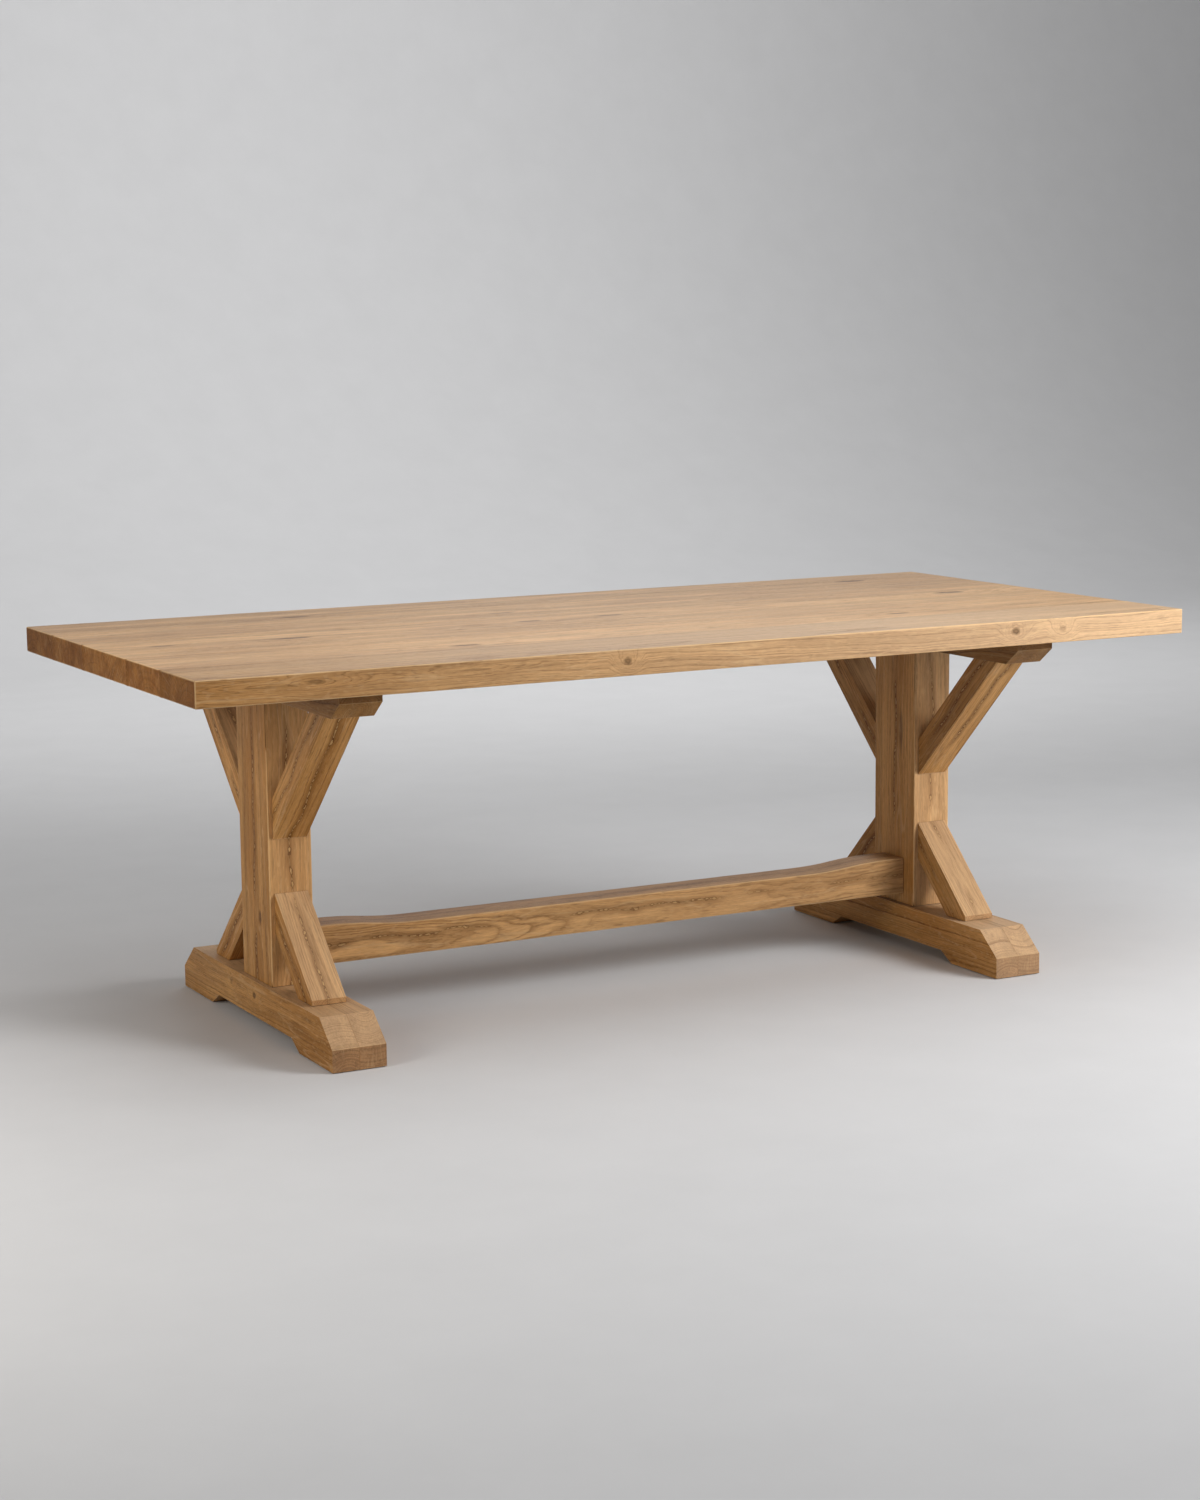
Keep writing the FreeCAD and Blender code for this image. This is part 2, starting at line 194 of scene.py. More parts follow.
def makeLamps(look):
    for name, place, aim, width, height, watts, colour in look["lamps"]:
        bpy.ops.object.light_add(type="AREA", location=place)
        lamp = bpy.context.object
        lamp.name = name
        lamp.data.shape = "RECTANGLE"
        lamp.data.size = width
        lamp.data.size_y = height
        lamp.data.energy = watts
        lamp.data.color = linear(colour)[:3]
        lamp.visible_glossy = name not in look["unreflected"]
        towards = Vector(aim) - Vector(place)
        lamp.rotation_euler = towards.to_track_quat("-Z", "Y").to_euler()
    world = bpy.data.worlds.new("studio")
    bpy.context.scene.world = world
    world.use_nodes = True
    world.node_tree.nodes["Background"].inputs["Color"].default_value = linear("#FFFFFF")
    world.node_tree.nodes["Background"].inputs["Strength"].default_value = look["world"]


makeSweep(studio)
makeLamps(studio)
bpy.context.scene.view_settings.view_transform = "Standard"
print("studio ready")


# oak: what all the boards and beams share

oak = {
    "pale": "#D6A467",
    "honey": "#AF7C42",
    "growthLine": "#6F4319",
    "pore": "#4B2B13",
    "strand": "#5A3212",
    "ray": "#D8B384",
    "knot": "#3F2512",
    "eye": "#E0B97C",
    # dirt and painted contact shade: the dark colour of narrow eased edges where parts meet
    "grime": "#352212",
    # wear and painted highlight: the pale colour of wide eased edges
    "worn": "#E3BF8E",
    # painted light and painted sheen: the pale colour laid over faces turned to the lamps
    "bleached": "#CAAF90",
    "lampSide": (0.25, -0.6, 0.85),  # the side the lamps light it from: faces turned that way are painted paler, faces turned away darker and browner
    "taper": 0.010,  # the rings of a tree that narrows upwards
    "apart": (3.7, 1.9, 2.3),  # metres between the patterns of two pieces whose seeds differ by one
    "drifts": ((850, 210, 2.0), (170, 62, 0.48), (52, 22, 0.16)),  # mm along and across, share of the wander
    "weather": (0.37, 3.2),  # how soon good years turn to bad ones, and by how many years' growth
    "faintest": 0.2,  # the palest year beside the darkest
    "yearEnd": 0.45,  # how dark the wood is where one year meets the next
    "year": ((0.08, 1.0), (0.20, 0.70), (0.42, 0.14), (0.84, 0.0)),  # and through the year, pores first
    "patterns": {
        # mm along and across the grain, detail, lowest and highest value that show, mm through if it differs
        "band": (1300, 85, 2.0, 0.3, 0.7),
        "cloud": (260, 70, 3.0, 0.3, 0.7),
        "sweep": (760, 30, 2.0, 0.3, 0.7),  # long soft streaks of paler and darker wood
        "streak": (420, 11, 2.0, 0.52, 0.72),
        "stain": (420, 38, 3.0, 0.54, 0.74),  # brown streaks in loose clusters
        "mark": (70, 9, 1.0, 0.63, 0.74),  # short brown dashes, a few to the board
        "fibre": (150, 3.4, 3.0, 0.28, 0.72),
        "thin": (34, 1.5, 2.0, 0.30, 0.70),
        "pore": (14, 1.3, 0.0, 0.54, 0.66),  # 0.3 mm wide in real oak, drawn coarser so that they show
        "fleck": (16, 1.5, 0.0, 0.62, 0.72, 5.0),
        "chain": (150, 500, 1.0, 0.34, 0.52),  # where the row of eyes shows
        "rubbed": (35, 30, 2.0, 0.2, 0.5),
    },
    "strengths": {
        # how far each layer hides what lies under it, in the order they are laid
        "paintedLight": 0.55,
        "ring": 0.78,
        "streak": 0.18,
        "stain": 0.36,
        "mark": 0.6,
        "paleLine": 1.0,
        "fleck": 0.16,
        "pore": 0.32,
        "halo": 0.48,
        "strand": 0.74,
        "eye": 0.5,
        "endGrain": 1.0,
        "endRay": 0.18,
        # painted sheen, laid over the figure where faces turn to the lamps
        "paintedSheen": 0.3,
        "knot": 0.8,
        "knotRing": 0.22,
        "worn": 0.62,
        "grime": 0.85,
    },
    "sweepDepth": -0.16,
    "fibreShades": ((0.89, 1.10), (0.90, 1.08)),  # darkest and lightest, of the long fibres and the thin ones
    "paleLine": (520, 46),  # mm along and across from one pale wavy line to the next
    "knotShape": {
        # shares of its reach, from its middle outwards
        "ragged": 0.8,  # how uneven its outline is
        "heart": (0.15, 0.45, 0.7),  # where its paler heart stops, and how dark that is
        "body": (0.45, 1.15),
        "shove": (0.3, 5.0, 1.2),  # how far and how strongly it pushes the growth lines aside
        "rings": (0.8, 3.4, 8.5),  # where they fade out, and how close they are
    },
    "bead": 15,  # mm from one eye to the next
    "beadHalf": (0.5, 3.0),  # mm, half the width of the smallest and the largest eye
    "beadShape": (7.0, 2.1, 1.8, 0.9),  # uneven spacing, length, ragged outline and how much that adds
    "beadFill": (0.55, 0.85),  # where its pale middle fades, as a share of its size
    "beadLine": (0.12, 0.42),  # and the dark line round it, to each side
    "strandHalf": (0.4, 1.8, 0.7),  # mm where the strand starts and stops fading, and how dark it is
    "haloHalf": (2, 13),  # mm
    "sway": 30,  # mm the row of eyes wanders to the side
    "swayRate": 9.0,  # how often, to the metre
    "rays": (48.0, 25.0),  # how close round the pith, and how often they stop on the way out, to the metre
    "cloudShare": 0.4,  # of the tone, the rest is bands
    "depths": {"pore": -0.16, "ring": -0.10, "fibre": 0.10, "strand": -0.25, "knot": -0.5},  # mm
    "roughness": {"pore": 0.14, "fibre": 0.06, "endGrain": 0.16, "worn": -0.08},
    "satin": 0.38,  # the roughness of the oiled surface before those are added
    "paintedShade": (-0.9, -0.4, -0.30),  # painted shade: turned this far from the lamps it is painted darkest, this far no darker
    "warmed": (-0.5, 0.1, 0.27),  # and the same for the browner colour of that painted shade
    "secondSeed": 7.3,  # of the second timber, more than the first one's
    "glueLine": 0.9,  # mm to each side
}


def rate(along, across, through=None):  # repeats a metre for a pattern of this size in mm
    return (1 / (along * mm), 1 / (across * mm), 1 / ((through or across) * mm))


def floats(*labels):
    return [(label, "Float") for label in labels]


def makeKnotGroup(look):  # one knot: it pushes the growth lines aside and darkens its own middle
    given = [("Place", "Vector"), ("Middle", "Vector"), ("Reach", "Vector")]
    given += floats("Strength", "Swirl", "Knot", "Rim")
    tree, add, ins = newGroup("knot in oak", given, floats("Swirl", "Knot", "Rim"))
    off = add("VectorMath", {0: ins["Place"], 1: ins["Middle"]}, operation="SUBTRACT")
    squeezed = add("VectorMath", {0: off, 1: ins["Reach"]}, operation="DIVIDE")
    uneven = add("TexNoise", {"Vector": squeezed, "Scale": 1.5, "Detail": 2.0})
    centred = add("Math", {0: uneven, 1: 0.5}, operation="SUBTRACT")
    far = add("VectorMath", {0: squeezed}, operation="LENGTH").outputs["Value"]
    distance = add("Math", {0: centred, 1: look["ragged"], 2: far}, operation="MULTIPLY_ADD")

    start, stop, strength = look["shove"]
    push = add("MapRange", {"Value": distance, "From Min": start, "From Max": stop, **falling}, **softly)
    size = add("SeparateXYZ", {"Vector": ins["Reach"]}).outputs["Y"]
    shove = add("Math", {0: push, 1: size}, operation="MULTIPLY")
    shoved = add("Math", {0: shove, 1: strength, 2: ins["Swirl"]}, operation="MULTIPLY_ADD")

    start, stop, palest = look["heart"]
    heart = add("MapRange", {"Value": distance, "From Min": start, "From Max": stop, "To Min": palest})
    start, stop = look["body"]
    body = add("MapRange", {"Value": distance, "From Min": start, "From Max": stop, **falling}, **softly)
    dark = add("Math", {0: body, 1: heart}, operation="MULTIPLY")
    dark = add("Math", {0: dark, 1: ins["Strength"]}, operation="MULTIPLY")
    knot = add("Math", {0: dark, 1: ins["Knot"]}, operation="MAXIMUM")

    start, stop, often = look["rings"]
    waves = add("Math", {0: add("Math", {0: distance, 1: often}, operation="MULTIPLY")}, operation="SINE")
    rings = add("MapRange", {"Value": waves, "From Min": 0.1, "From Max": 0.9})
    fading = add("MapRange", {"Value": distance, "From Min": start, "From Max": stop, **falling})
    ring = add("Math", {0: rings, 1: fading}, operation="MULTIPLY")
    ring = add("Math", {0: ring, 1: ins["Strength"]}, operation="MULTIPLY")
    rim = add("Math", {0: ring, 1: ins["Rim"]}, operation="MAXIMUM")
    handOut(tree, Swirl=shoved, Knot=knot, Rim=rim)
    return tree


def makeOakGroup(look):
    given = [("Place", "Vector"), ("Facing", "Vector"), ("Pith", "Vector"), ("EndColour", "Color")]
    given += floats("Seed", "Growth", "Wander", "Contrast", "Chain", "Bands", "Lines", "Marks",
                    "Tone", "Warmth", "Bleach", "Worn", "Swirl", "Knot", "Rim", "EndShade")
    tree, add, ins = newGroup("oak figure", given, [("Color", "Color")] + floats("Roughness", "Height"))

    # the grain wanders slowly down the piece, and less and quicker across it
    shift = add("VectorMath", {0: look["apart"], "Scale": ins["Seed"]}, operation="SCALE")
    home = add("VectorMath", {0: ins["Place"], 1: shift}, operation="ADD")
    bent = ins["Place"]
    for along, across, share in look["drifts"]:
        sized = add("VectorMath", {0: home, 1: rate(along, across)}, operation="MULTIPLY")
        drift = add("TexNoise", {"Vector": sized, "Scale": 1.0, "Detail": 0.0})
        centred = add("VectorMath", {0: drift.outputs["Color"], 1: (0.5, 0.5, 0.5)}, operation="SUBTRACT")
        sideways = add("VectorMath", {0: centred, 1: (0.0, share, share)}, operation="MULTIPLY")
        moved = add("VectorMath", {0: sideways, "Scale": ins["Wander"]}, operation="SCALE")
        bent = add("VectorMath", {0: bent, 1: moved}, operation="ADD")
    fibred = add("VectorMath", {0: bent, 1: shift}, operation="ADD")

    # growth rings: distance from the pith, in rings of uneven width and strength
    off = add("VectorMath", {0: bent, 1: ins["Pith"]}, operation="SUBTRACT")
    apart = add("SeparateXYZ", {"Vector": off})
    section = add("CombineXYZ", {"Y": apart.outputs["Y"], "Z": apart.outputs["Z"]})
    spoke = add("VectorMath", {0: section}, operation="LENGTH").outputs["Value"]
    tapered = add("Math", {0: apart.outputs["X"], 1: look["taper"], 2: spoke}, operation="MULTIPLY_ADD")
    pushed = add("Math", {0: tapered, 1: ins["Swirl"]}, operation="ADD")
    count = add("Math", {0: pushed, 1: ins["Growth"]}, operation="DIVIDE")
    often, much = look["weather"]
    weather = add("Math", {0: count, 1: often, 2: ins["Seed"]}, operation="MULTIPLY_ADD")
    seasons = add("TexNoise", {"W": weather, "Scale": 1.0, "Detail": 1.0}, noise_dimensions="1D")
    years = add("Math", {0: seasons, 1: much, 2: count}, operation="MULTIPLY_ADD")
    within = add("Math", {0: years}, operation="FRACT")
    number = add("Math", {0: add("Math", {0: years}, operation="FLOOR"), 1: ins["Seed"]}, operation="ADD")
    weight = add("TexWhiteNoise", {"W": number}, noise_dimensions="1D")
    profile = add("ValToRGB", {"Fac": within})
    for element in profile.color_ramp.elements:
        element.color = [look["yearEnd"]] * 3 + [1]
    for position, grey in look["year"]:
        profile.color_ramp.elements.new(position).color = (grey, grey, grey, 1)
    yearly = add("MapRange", {"Value": weight.outputs["Value"], "To Min": look["faintest"]})
    ring = add("Math", {0: profile, 1: yearly}, operation="MULTIPLY")

    # how far the surface cuts across the grain
    faced = add("SeparateXYZ", {"Vector": add("VectorMath", {0: ins["Facing"]}, operation="ABSOLUTE")})
    endGrain = add("MapRange", {"Value": faced.outputs["X"], "From Min": 0.45, "From Max": 1.0}, **softly)
    longGrain = add("Math", {0: 1.0, 1: endGrain}, operation="SUBTRACT")

    # bands of tone, fibres, pores and flecks, each by its size, and pale wavy lines
    def grain(name):
        along, across, detail, low, high, *through = look["patterns"][name]
        sized = add("VectorMath", {0: fibred, 1: rate(along, across, *through)}, operation="MULTIPLY")
        drift = add("TexNoise", {"Vector": sized, "Scale": 1.0, "Detail": detail, "Roughness": 0.62})
        return add("MapRange", {"Value": drift, "From Min": low, "From Max": high}, **softly)

    fibre, pore = grain("fibre"), grain("pore")
    waved = add("VectorMath", {0: fibred, 1: rate(*look["paleLine"])}, operation="MULTIPLY")
    field = add("TexNoise", {"Vector": waved, "Scale": 1.0, "Detail": 2.0, "Roughness": 0.45})
    fromLine = add("Math", {0: add("Math", {0: field, 1: 0.5}, operation="SUBTRACT")}, operation="ABSOLUTE")
    paleLine = add("MapRange", {"Value": fromLine, "From Min": 0.002, "From Max": 0.014, **falling}, **softly)

    # a row of small pale eyes on a dark strand, down the middle of each face
    beam = add("SeparateXYZ", {"Vector": ins["Place"]})
    swayed = add("VectorMath", {0: home, 1: (look["swayRate"], 0.0, 0.0)}, operation="MULTIPLY")
    sway = add("TexNoise", {"Vector": swayed, "Scale": 1.0, "Detail": 2.0})
    swaying = add("VectorMath", {0: sway.outputs["Color"], 1: (0.5, 0.5, 0.5)}, operation="SUBTRACT")
    aside = add("SeparateXYZ", {"Vector": swaying})
    sides = []
    for axis in ("Y", "Z"):
        line = add("Math", {0: aside.outputs[axis], 1: look["sway"] * mm, 2: beam.outputs[axis]},
                   operation="MULTIPLY_ADD")
        sides.append(add("Math", {0: line}, operation="ABSOLUTE"))
    middle = add("Math", {0: sides[0], 1: sides[1]}, operation="MINIMUM")
    spacing, length, ragged, added = look["beadShape"]
    uneven = add("Math", {0: aside.outputs["X"], 1: spacing}, operation="MULTIPLY")
    pace = 1 / (look["bead"] * mm)
    paced = add("Math", {0: beam.outputs["X"], 1: pace, 2: uneven}, operation="MULTIPLY_ADD")
    whichBead = add("Math", {0: add("Math", {0: paced}, operation="FLOOR"), 1: ins["Seed"]}, operation="ADD")
    beadSize = add("TexWhiteNoise", {"W": whichBead}, noise_dimensions="1D")
    smallest, largest = [half * mm for half in look["beadHalf"]]
    halfWide = add("MapRange", {"Value": beadSize.outputs["Value"], "To Min": smallest, "To Max": largest})
    fromCentre = add("Math", {0: add("Math", {0: paced}, operation="FRACT"), 1: 0.5}, operation="SUBTRACT")
    lengthwise = add("Math", {0: fromCentre, 1: length}, operation="MULTIPLY")
    crosswise = add("Math", {0: middle, 1: halfWide}, operation="DIVIDE")
    fromBead = add("VectorMath", {0: add("CombineXYZ", {"X": lengthwise, "Y": crosswise})},
                   operation="LENGTH")
    finely = add("VectorMath", {0: home, 1: rate(7, 3)}, operation="MULTIPLY")
    knobbly = add("TexNoise", {"Vector": finely, "Scale": 1.0, "Detail": 1.0, "Roughness": 0.4})
    reach = add("Math", {0: fromBead.outputs["Value"], 1: added}, operation="SUBTRACT")
    beadEdge = add("Math", {0: knobbly, 1: ragged, 2: reach}, operation="MULTIPLY_ADD")
    outline = add("Math", {0: add("Math", {0: beadEdge, 1: 1.0}, operation="SUBTRACT")}, operation="ABSOLUTE")
    start, stop = look["beadLine"]
    thread = add("MapRange", {"Value": outline, "From Min": start, "From Max": stop, **falling}, **softly)
    start, stop, darkest = look["strandHalf"]
    narrow = add("MapRange", {"Value": middle, "From Min": start * mm, "From Max": stop * mm,
                              "To Min": darkest, "To Max": 0.0}, **softly)
    strand = add("Math", {0: thread, 1: narrow}, operation="MAXIMUM")
    start, stop = look["beadFill"]
    eye = add("MapRange", {"Value": beadEdge, "From Min": start, "From Max": stop, **falling}, **softly)
    start, stop = look["haloHalf"]
    halo = add("MapRange", {"Value": middle, "From Min": start * mm, "From Max": stop * mm, **falling},
               **softly)
    chain = add("Math", {0: grain("chain"), 1: ins["Chain"]}, operation="MULTIPLY")
    chain = add("Math", {0: chain, 1: longGrain}, operation="MULTIPLY")

    # end grain: rays fan out from the pith
    around = add("Math", {0: apart.outputs["Y"], 1: apart.outputs["Z"]}, operation="ARCTAN2")
    polar = add("CombineXYZ", {"X": around, "Y": spoke})
    fan = add("VectorMath", {0: polar, 1: (*look["rays"], 0.0)}, operation="MULTIPLY")
    fanned = add("TexNoise", {"Vector": fan, "Scale": 1.0, "Detail": 1.0})
    ray = add("MapRange", {"Value": fanned, "From Min": 0.55, "From Max": 0.68}, **softly)

    # colour, from the broad tone down to the finest mark
    clouded = add("Math", {0: grain("cloud"), 1: look["cloudShare"]}, operation="MULTIPLY")
    mixed = add("Math", {0: grain("band"), 1: 1 - look["cloudShare"], 2: clouded}, operation="MULTIPLY_ADD")
    spread = add("Math", {0: mixed, 1: 0.5}, operation="SUBTRACT")
    toned = add("Math", {0: spread, 1: ins["Bands"], 2: 0.5}, operation="MULTIPLY_ADD")
    warmed = add("Math", {0: toned, 1: ins["Warmth"]}, operation="ADD", use_clamp=True)
    colour = add("Mix", {"Factor": warmed, "A": linear(look["pale"]), "B": linear(look["honey"])},
                 data_type="RGBA")

    def lay(name, shade, *factors, blend="MIX"):  # one colour over what is there, where all the factors say
        share = look["strengths"][name]
        for factor in factors:
            share = add("Math", {0: factor, 1: share}, operation="MULTIPLY", use_clamp=True)
        over = linear(look[shade]) if isinstance(shade, str) else shade
        return add("Mix", {"Factor": share, "A": colour, "B": over}, data_type="RGBA", blend_type=blend)

    # painted light: faces turned to the lamps are painted paler
    colour = lay("paintedLight", "bleached", ins["Bleach"])
    swept = add("Math", {0: grain("sweep"), 1: 0.5}, operation="SUBTRACT")
    swept = add("Math", {0: swept, 1: ins["Bands"]}, operation="MULTIPLY")
    swept = add("Math", {0: swept, 1: look["sweepDepth"], 2: 1.0}, operation="MULTIPLY_ADD")
    colour = add("VectorMath", {0: colour, "Scale": swept}, operation="SCALE")
    colour = lay("ring", "growthLine", ring, ins["Contrast"])
    colour = lay("streak", "growthLine", grain("streak"))
    colour = lay("stain", "growthLine", grain("stain"), ins["Marks"])
    colour = lay("mark", "pore", grain("mark"), ins["Marks"])
    for layer, (darkest, lightest) in zip((fibre, grain("thin")), look["fibreShades"]):
        shaded = add("MapRange", {"Value": layer, "To Min": darkest, "To Max": lightest})
        colour = add("VectorMath", {0: colour, "Scale": shaded}, operation="SCALE")
    colour = lay("paleLine", "ray", paleLine, ins["Lines"])
    colour = lay("fleck", "ray", grain("fleck"))
    porous = add("MapRange", {"Value": ring, "From Min": 0.1, "From Max": 0.6, "To Min": 0.35})
    porous = add("Math", {0: pore, 1: porous}, operation="MULTIPLY")
    colour = lay("pore", "pore", porous)
    colour = lay("halo", "growthLine", halo, chain)
    colour = lay("strand", "strand", strand, chain)
    colour = lay("eye", "eye", eye, chain)
    colour = lay("endGrain", ins["EndColour"], endGrain, ins["EndShade"], blend="MULTIPLY")
    colour = lay("endRay", "ray", ray, endGrain)
    # painted sheen: a second pale layer where faces turn to the lamps
    colour = lay("paintedSheen", "bleached", ins["Bleach"])
    colour = lay("knot", "knot", ins["Knot"])
    colour = lay("knotRing", "growthLine", ins["Rim"])
    # wide eased edges painted pale, as wear and a painted highlight
    rubbed = add("Math", {0: ins["Worn"], 1: 0.0}, operation="MAXIMUM")
    # narrow eased edges painted dark, as dirt and a painted contact shade
    sunken = add("Math", {0: ins["Worn"], 1: -1.0}, operation="MULTIPLY")
    dirtAndShadeShare = add("Math", {0: sunken, 1: 0.0}, operation="MAXIMUM")
    colour = lay("worn", "worn", rubbed, grain("rubbed"))
    colour = lay("grime", "grime", dirtAndShadeShare)
    bright = add("Math", {0: ins["Tone"], 1: 1.0}, operation="ADD")
    colour = add("VectorMath", {0: colour, "Scale": bright}, operation="SCALE")

    # satin oil: pores and end grain scatter more, rubbed edges less
    rough = look["satin"]
    for mark, more in zip((porous, fibre, endGrain, rubbed), look["roughness"].values()):
        rough = add("Math", {0: mark, 1: more, 2: rough}, operation="MULTIPLY_ADD", use_clamp=True)

    # relief, in metres
    stranded = add("Math", {0: strand, 1: chain}, operation="MULTIPLY")
    height = 0.0
    for mark, depth in zip((porous, ring, fibre, stranded, ins["Knot"]), look["depths"].values()):
        height = add("Math", {0: mark, 1: depth * mm, 2: height}, operation="MULTIPLY_ADD")
    handOut(tree, Color=colour, Roughness=rough, Height=height)
    return tree


knotGroup = makeKnotGroup(oak["knotShape"])
oakGroup = makeOakGroup(oak)

# what one piece of oak can change; distances in mm from the piece's middle, first along the grain
plainOak = {
    "pith": (0, 0),  # where the heart of the tree lies, across and through the piece
    "growth": 5.0,  # mm a year
    "wander": 16,  # mm that the grain strays
    "contrast": 0.8,  # how dark the growth lines are
    "chain": 0.0,  # how clearly the rows of eyes show
    "tone": 0.0,  # lighter above 0, darker below
    "warmth": 0.0,  # browner above 0, paler below
    "paintedLight": 0.8,  # painted light: how much paler it is painted where it faces the lamps
    "litToRight": 0.25,  # painted light: how much more of that a metre further to the right, nearer the lamps
    "bands": 1.1,  # how strongly the broad tones differ
    "lines": 0.28,  # how clearly the pale wavy lines show
    "marks": 0.4,  # and the brown streaks and dashes
    "halves": (),  # where the heart of the second timber lies, when two are glued side by side
    "litAlong": 0.0,  # painted light: how much paler it is painted a metre further along, towards the lamps
    "seed": 1.0,
    "gloss": 0.1,
    "endShade": 0.5,  # how much the end grain deepens, and towards which colour
    "endColour": "#8C6440",
    "knots": (),  # (along, across, through), (reach along, across, through), strength
}


def oakMaterial(name, middle, axes, look):
    # planed and oiled: pores and growth lines under a thin satin skin, deeper brown where end grain drinks it
    values = {**plainOak, **look}
    material, add = newMaterial(name)
    found = add("TexCoord")
    place = add("Mapping", {"Vector": found.outputs["Object"], "Location": middle,
                            "Rotation": axes.to_euler()}, vector_type="TEXTURE")
    facing = add("Mapping", {"Vector": found.outputs["Normal"], "Rotation": axes.transposed().to_euler()},
                 vector_type="VECTOR")
    swirl, knot, rim = 0.0, 0.0, 0.0
    for spot, reach, strength in values["knots"]:
        node = add("Group", {"Place": place, "Middle": Vector(spot) * mm, "Reach": Vector(reach) * mm,
                             "Strength": strength, "Swirl": swirl, "Knot": knot, "Rim": rim},
                   node_tree=knotGroup)
        swirl, knot, rim = node.outputs
    across, through = values["pith"]
    pith, seed = (0.0, across * mm, through * mm), values["seed"]
    spread = add("SeparateXYZ", {"Vector": place}).outputs
    if values["halves"]:  # two timbers glued side by side, each with its own heart
        across, through = values["halves"]
        second = add("Math", {0: spread["Y"], 1: 0.0}, operation="GREATER_THAN")
        pith = add("Mix", {"Factor": second, "A": pith, "B": (0.0, across * mm, through * mm)},
                   data_type="VECTOR").outputs["Result"]
        seed = add("Math", {0: second, 1: oak["secondSeed"], 2: seed}, operation="MULTIPLY_ADD")
        rim = add("Math", {0: spread["Y"], 1: 0.0, 2: oak["glueLine"] * mm}, operation="COMPARE")
    # painted light: paler further along the piece
    tone = add("Math", {0: spread["X"], 1: values["litAlong"], 2: values["tone"]}, operation="MULTIPLY_ADD")
    # painted light and shade: what faces the lamps is painted paler, what faces away darker and browner
    turned = add("VectorMath", {0: found.outputs["Normal"], 1: oak["lampSide"]},
                 operation="DOT_PRODUCT").outputs["Value"]
    rightward = add("SeparateXYZ", {"Vector": found.outputs["Object"]}).outputs["X"]
    lampFacing = add("Math", {0: rightward, 1: values["litToRight"], 2: turned}, operation="MULTIPLY_ADD")
    litPale = add("MapRange", {"Value": lampFacing, "From Min": 0.0, "From Max": 1.0, "To Max": values["paintedLight"]})
    # painted shade: faces turned away from the lamps are painted darker and browner
    start, stop, most = oak["paintedShade"]
    paintedShade = add("MapRange", {"Value": turned, "From Min": start, "From Max": stop,
                                "To Min": most, "To Max": 0.0})
    start, stop, most = oak["warmed"]
    warmth = add("MapRange", {"Value": lampFacing, "From Min": start, "From Max": stop,
                              "To Min": values["warmth"] + most, "To Max": values["warmth"]})
    figure = add("Group", {
        "Place": place, "Facing": facing, "Pith": pith, "Seed": seed, "Growth": values["growth"] * mm,
        "Wander": values["wander"] * mm, "Contrast": values["contrast"], "Bands": values["bands"],
        "Lines": values["lines"], "Marks": values["marks"], "Chain": values["chain"],
        "Tone": add("Math", {0: paintedShade, 1: tone}, operation="ADD"), "Warmth": warmth, "Bleach": litPale,
        "Worn": add("Attribute", attribute_name="worn").outputs["Fac"],
        "Swirl": swirl, "Knot": knot, "Rim": rim,
        "EndShade": values["endShade"], "EndColour": linear(values["endColour"]),
    }, node_tree=oakGroup)
    bump = add("Bump", {"Height": figure.outputs["Height"], "Distance": 1.0, "Strength": 1.0})
    shader = add("BsdfPrincipled", {
        "Base Color": figure.outputs["Color"], "Roughness": figure.outputs["Roughness"], "Normal": bump,
        "IOR": 1.5, "Specular IOR Level": values["gloss"]})
    add("OutputMaterial", {"Surface": shader.outputs[0]})
    return material


alongX = Matrix.Identity(3)
alongY = Matrix.Rotation(math.radians(90), 3, "Z")
alongZ = Matrix.Rotation(math.radians(-90), 3, "Y")


# modelling tools

handwork = {
    "sharp": math.radians(12),  # edges that turn less are left as they are
    "easing": ((14, 0.32), (55, 0.16)),  # how often to the metre, and how much, an eased edge varies in width
    "dirtAndShadeUnder": 1.3 * mm,  # narrower easing is painted dark, as dirt and contact shade; wider is painted pale, as wear and highlight
    "unevenness": ((0.30, 1.0), (0.045, 0.3)),  # its size in metres, its share of the piece's own
    "held": 0.1,  # how much of that a glued face keeps
    "smooth": math.radians(40),
}


def startBlock(name, low, high):  # a cube at its size and place, left in edit mode
    bpy.ops.object.select_all(action="DESELECT")
    low, high = Vector(low), Vector(high)
    bpy.ops.mesh.primitive_cube_add(size=1, location=(low + high) / 2, scale=high - low)
    block = bpy.context.object
    block.name = block.data.name = name
    bpy.ops.object.transform_apply(location=True, rotation=True, scale=True)
    bpy.ops.object.mode_set(mode="EDIT")
    return block


def cutThrough(place, normal, keep=True):  # keep=False throws away what lies beyond the plane
    bpy.ops.mesh.select_mode(type="FACE")
    bpy.ops.mesh.select_all(action="SELECT")
    bpy.ops.mesh.bisect(plane_co=place, plane_no=normal, use_fill=not keep, clear_outer=not keep)


def cutEvery(step, low, high, direction):  # evenly spaced cuts across one direction
    direction = Vector(direction).normalized()
    start, stop = Vector(low).dot(direction), Vector(high).dot(direction)
    start, stop = min(start, stop), max(start, stop)
    count = max(1, round((stop - start) / step))
    for number in range(1, count):
        cutThrough(direction * (start + (stop - start) * number / count), direction)


def netBlock(block, step, low, high, directions):  # a net over all its faces, to carry wear and unevenness
    for direction in directions:
        cutEvery(step, low, high, direction)
    bpy.ops.object.mode_set(mode="OBJECT")
    return block


